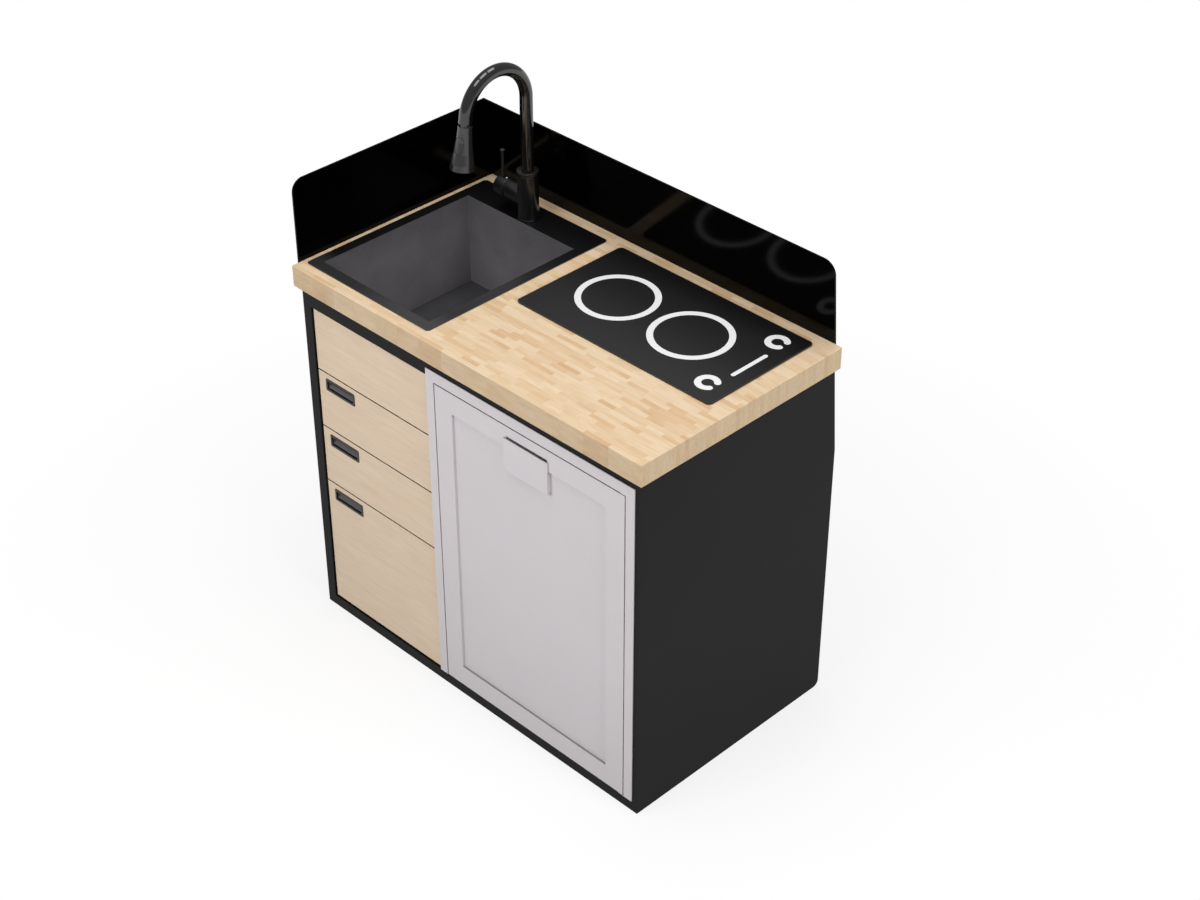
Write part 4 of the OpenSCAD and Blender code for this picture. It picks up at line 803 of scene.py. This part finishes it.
def tap_lever():
    """The lever's cap, hollowed for the ball, its rod and set screw, and a dark gap ring of painted shade.

    Cap and ring are profiles turned about the hub's axis, rod and screw about upright
    axes through it.
    """
    rim = math.sqrt(SOCKET_R ** 2 - (CAP_START - BALL_OUT) ** 2)
    hollow = ball_arc(BALL_OUT, SOCKET_R, 0, rim, side=1)
    cap = np.vstack([hollow[:-1],
                     fillet([hollow[-1], (HUB_R - CAP_BEVEL, CAP_START),
                             (HUB_R, CAP_START + CAP_BEVEL), (HUB_R, CAP_END), (0, CAP_END)],
                            radius=0.0016)])
    seat = HUB_R - SEAT_DEPTH
    rod = fillet([(0, seat), (ROD_R, seat), (ROD_R, ROD_TOP - ROD_CAP_H),
                  (ROD_CAP_R, ROD_TOP - ROD_CAP_H), (ROD_CAP_R, ROD_TOP), (0, ROD_TOP)],
                 radius=0.0007)
    screw = fillet([(0, seat), (SCREW_R, seat), (SCREW_R, HUB_R + SCREW_STAND),
                    (0, HUB_R + SCREW_STAND)], radius=0.0004)
    ring = [(SOCKET_R, GAP_SHADE_START), (GAP_SHADE_R, GAP_SHADE_START),
            (GAP_SHADE_R, GAP_SHADE_END), (SOCKET_R, GAP_SHADE_END)]
    made = piece("lever_cap_fine", spin(cap, HUB_PLACE, OUT_LEFT), "tap_satin", "lever")
    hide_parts("lever_cap")
    made = piece("lever_rod_fine", spin(rod, (TAP_X - ROD_OUT, TAP_Y, HUB_Z), UPRIGHT, sides=48),
                 "tap_rod", "lever")
    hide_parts("lever_rod")
    piece("lever_gap_shade", spin(ring, HUB_PLACE, OUT_LEFT, closed=True), "seam_black",
          "lever")
    piece("lever_set_screw", spin(screw, (TAP_X - SCREW_OUT, TAP_Y, HUB_Z), UPRIGHT, sides=32),
          "screw_steel", "lever")


def head_frame():
    """The spray head's top centre, and its sideways, front-back and upward axes."""
    c, s = math.cos(ARC_END), math.sin(ARC_END)
    turn = np.array([[1, 0, 0], [0, -c, s], [0, -s, -c]])
    arc_end = np.array([TAP_X, TAP_Y - ARC_R + ARC_R * c, ARC_Z + ARC_R * s])
    return arc_end - turn[:, 2] * (MOUTH_LENGTH + HEAD_SEAT), turn


def head_trim():
    """A crisp upper rim for the head, and a dark line of painted shade round its button.

    The rim is a profile turned about the head's axis. The line is an oval laid on the
    cone of radius R(z): u = r cos t and z = r sin t, moved up or down by half the
    button's straight part, with u turned by asin(u / R) about the head's axis.
    """
    top, turn = head_frame()
    rim = fillet([(RIM_R, RIM_HIGH), (HEAD_TOP_R, RIM_HIGH), (HEAD_TOP_R + RIM_FLARE, RIM_LOW),
                  (RIM_R, RIM_LOW), (RIM_R, RIM_HIGH)], radius=0.0002)[:-1]
    piece("head_rim", spin(rim[::-1], top, turn, closed=True), "head_grey", "spray")
    # The dark line paints the shade in the seam round the button.
    t = np.linspace(0, 2 * np.pi, LINE_STEPS, endpoint=False)
    z = BUTTON_Z + BUTTON_R * np.sin(t) + np.copysign(BUTTON_HALF_H, np.sin(t))
    r = np.interp(z, *zip(*HEAD_OUTLINE))
    a = BUTTON_AZ + np.arcsin(BUTTON_R * np.cos(t) / r)
    out = np.stack([np.sin(a), -np.cos(a), np.zeros(LINE_STEPS)], 1) @ turn.T
    spots = top + out * (r - LINE_SUNK)[:, None] + turn[:, 2] * z[:, None]
    side = np.cross(np.roll(spots, -1, axis=0) - np.roll(spots, 1, axis=0), out)
    side /= np.linalg.norm(side, axis=1)[:, None]
    piece("head_button_shade_line",
          sweep(spots, out[:, None], side, np.full(LINE_STEPS, LINE_R), sides=8),
          "seam_black", "spray")


def pulled_hose():
    """The stretch of hose that shows when the head is pulled, straight along its axis.

    A tube of one radius, turned about the head's axis and closed at both ends.
    """
    top, turn = head_frame()
    heights = np.linspace(HOSE_LOW, HOSE_HIGH, HOSE_STEPS)
    side = np.stack([np.full(HOSE_STEPS, HOSE_R), heights], 1)
    profile = np.vstack([(0, HOSE_LOW), side, (0, HOSE_HIGH)])
    made = piece("spray_hose_pulled", spin(profile, top, turn, sides=32), "hose")
    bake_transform(made)


tap_body()
tap_spout()
tap_lever()
head_trim()
pulled_hose()


# ---------------------------------------------------------------- stage

# The camera's place and direction were worked out from the photo's own edges.
CAMERA_PLACE = Vector((2.83206, -2.72066, 3.30925))
CAMERA_AZIMUTH = 45.0
CAMERA_ELEVATION = 35.264
CAMERA_LENS = 67.5
CAMERA_SENSOR = 36.0
CAMERA_REACH = 200.0

# Floor: its share of even white rises from FLOOR_EVEN to all of it between two distances
# from the origin, so that shadows stay weak and end there.
FLOOR_SIZE = 60.0
FLOOR_DROP = 0.0005
FLOOR_EVEN = 0.78
FLOOR_FADE_START = 0.6
FLOOR_FADE_END = 1.6
FLOOR_LIT = (0.9, 0.9, 0.9, 1)
FLOOR_BOUNCED = (0.32, 0.32, 0.32, 1)

# Lights, by radiance. The panels hang in a row along Y, and the boxes stand in front and
# to the right, unseen in reflections.
WHITE = (1, 1, 1, 1)
WORLD_LIGHT = 0.35
PANEL_LIGHT = 4.1
PANEL_X = -0.2
PANEL_HEIGHT = 3.5
PANEL_PLACES = (-0.85, 0.06, 0.97)
PANEL_WIDTH = 1.4
PANEL_DEPTH = 0.72
BOX_LIGHT = 6.6
BOX_WIDTH = 2.2
BOX_HEIGHT = 1.4
BOX_TARGET = (0, 0, 0.5)
FRONT_BOX_PLACE = (-0.2, -3.2, 2.2)
RIGHT_BOX_PLACE = (3.2, -0.2, 2.2)


def make_camera():
    """The camera at its place, looking down along its azimuth and elevation."""
    data = bpy.data.cameras.new("camera")
    data.lens = CAMERA_LENS
    data.sensor_width = CAMERA_SENSOR
    data.clip_end = CAMERA_REACH
    camera = bpy.data.objects.new("camera", data)
    a = math.radians(CAMERA_AZIMUTH)
    e = math.radians(CAMERA_ELEVATION)
    back = Vector((math.sin(a) * math.cos(e), -math.cos(a) * math.cos(e), math.sin(e)))
    camera.location = CAMERA_PLACE
    camera.rotation_mode = "QUATERNION"
    camera.rotation_quaternion = (-back).to_track_quat("-Z", "Y")
    bpy.context.scene.collection.objects.link(camera)
    bpy.context.scene.camera = camera


def floor_material():
    """White where it is seen or mirrored, with weak shadows, and greyer for bounced light."""
    material, graph = new_material("floor")
    rays = graph.node("ShaderNodeLightPath").outputs
    direct = graph.math("MAXIMUM", rays["Is Camera Ray"], rays["Is Glossy Ray"])
    direct = graph.math("MAXIMUM", direct, rays["Is Transmission Ray"])
    lit = graph.node("ShaderNodeBsdfDiffuse", {"Color": FLOOR_LIT})
    even = graph.node("ShaderNodeEmission", {"Color": WHITE, "Strength": 1.0})
    away = graph.node("ShaderNodeVectorMath", {0: graph.place()},
                      operation="LENGTH").outputs["Value"]
    evenness = graph.span(away, FLOOR_FADE_START, FLOOR_FADE_END, FLOOR_EVEN, 1.0)
    seen = graph.node("ShaderNodeMixShader", {0: evenness, 1: lit.outputs[0],
                                              2: even.outputs[0]})
    bounced = graph.node("ShaderNodeBsdfDiffuse", {"Color": FLOOR_BOUNCED})
    show(graph, graph.node("ShaderNodeMixShader", {0: direct, 1: bounced.outputs[0],
                                                   2: seen.outputs[0]}))
    return material


def make_floor():
    """A large pale floor."""
    half = FLOOR_SIZE / 2
    mesh = bpy.data.meshes.new("floor")
    mesh.from_pydata([(-half, -half, 0), (half, -half, 0), (half, half, 0), (-half, half, 0)],
                     [], [(0, 1, 2, 3)])
    floor = bpy.data.objects.new("floor", mesh)
    bpy.context.scene.collection.objects.link(floor)
    floor.location = (0, 0, -FLOOR_DROP)
    mesh.materials.append(floor_material())


def make_world():
    """Even dim light all round, seen as plain white."""
    world = bpy.data.worlds.new("studio")
    bpy.context.scene.world = world
    world.use_nodes = True
    world.node_tree.nodes.clear()
    graph = Graph(world.node_tree)
    rays = graph.node("ShaderNodeLightPath").outputs
    direct = graph.math("MAXIMUM", rays["Is Camera Ray"], rays["Is Transmission Ray"])
    light = graph.node("ShaderNodeBackground", {"Color": WHITE, "Strength": WORLD_LIGHT})
    seen = graph.node("ShaderNodeBackground", {"Color": WHITE, "Strength": 1.0})
    mixed = graph.node("ShaderNodeMixShader", {0: direct, 1: light.outputs[0],
                                               2: seen.outputs[0]})
    show(graph, mixed, "ShaderNodeOutputWorld")


def soft_box(name, place, target, width, height, radiance, mirrored=True):
    """A rectangular area light that points from place to target."""
    data = bpy.data.lights.new(name, "AREA")
    data.shape = "RECTANGLE"
    data.size = width
    data.size_y = height
    data.energy = radiance * math.pi * width * height
    lamp = bpy.data.objects.new(name, data)
    lamp.location = place
    lamp.visible_glossy = mirrored
    lamp.rotation_mode = "QUATERNION"
    lamp.rotation_quaternion = (Vector(target) - Vector(place)).to_track_quat("-Z", "Y")
    bpy.context.scene.collection.objects.link(lamp)


def light_stage():
    """A row of three ceiling panels and two soft boxes, in front and to the right."""
    for number, y in enumerate(PANEL_PLACES, start=1):
        soft_box("panel_%d" % number, (PANEL_X, y, PANEL_HEIGHT), (PANEL_X, y, 0),
                 PANEL_WIDTH, PANEL_DEPTH, PANEL_LIGHT)
    for name, place in (("front_box", FRONT_BOX_PLACE), ("right_box", RIGHT_BOX_PLACE)):
        soft_box(name, place, BOX_TARGET, BOX_WIDTH, BOX_HEIGHT, BOX_LIGHT, mirrored=False)


make_camera()
make_floor()
make_world()
light_stage()

bpy.context.scene.view_settings.view_transform = "Standard"
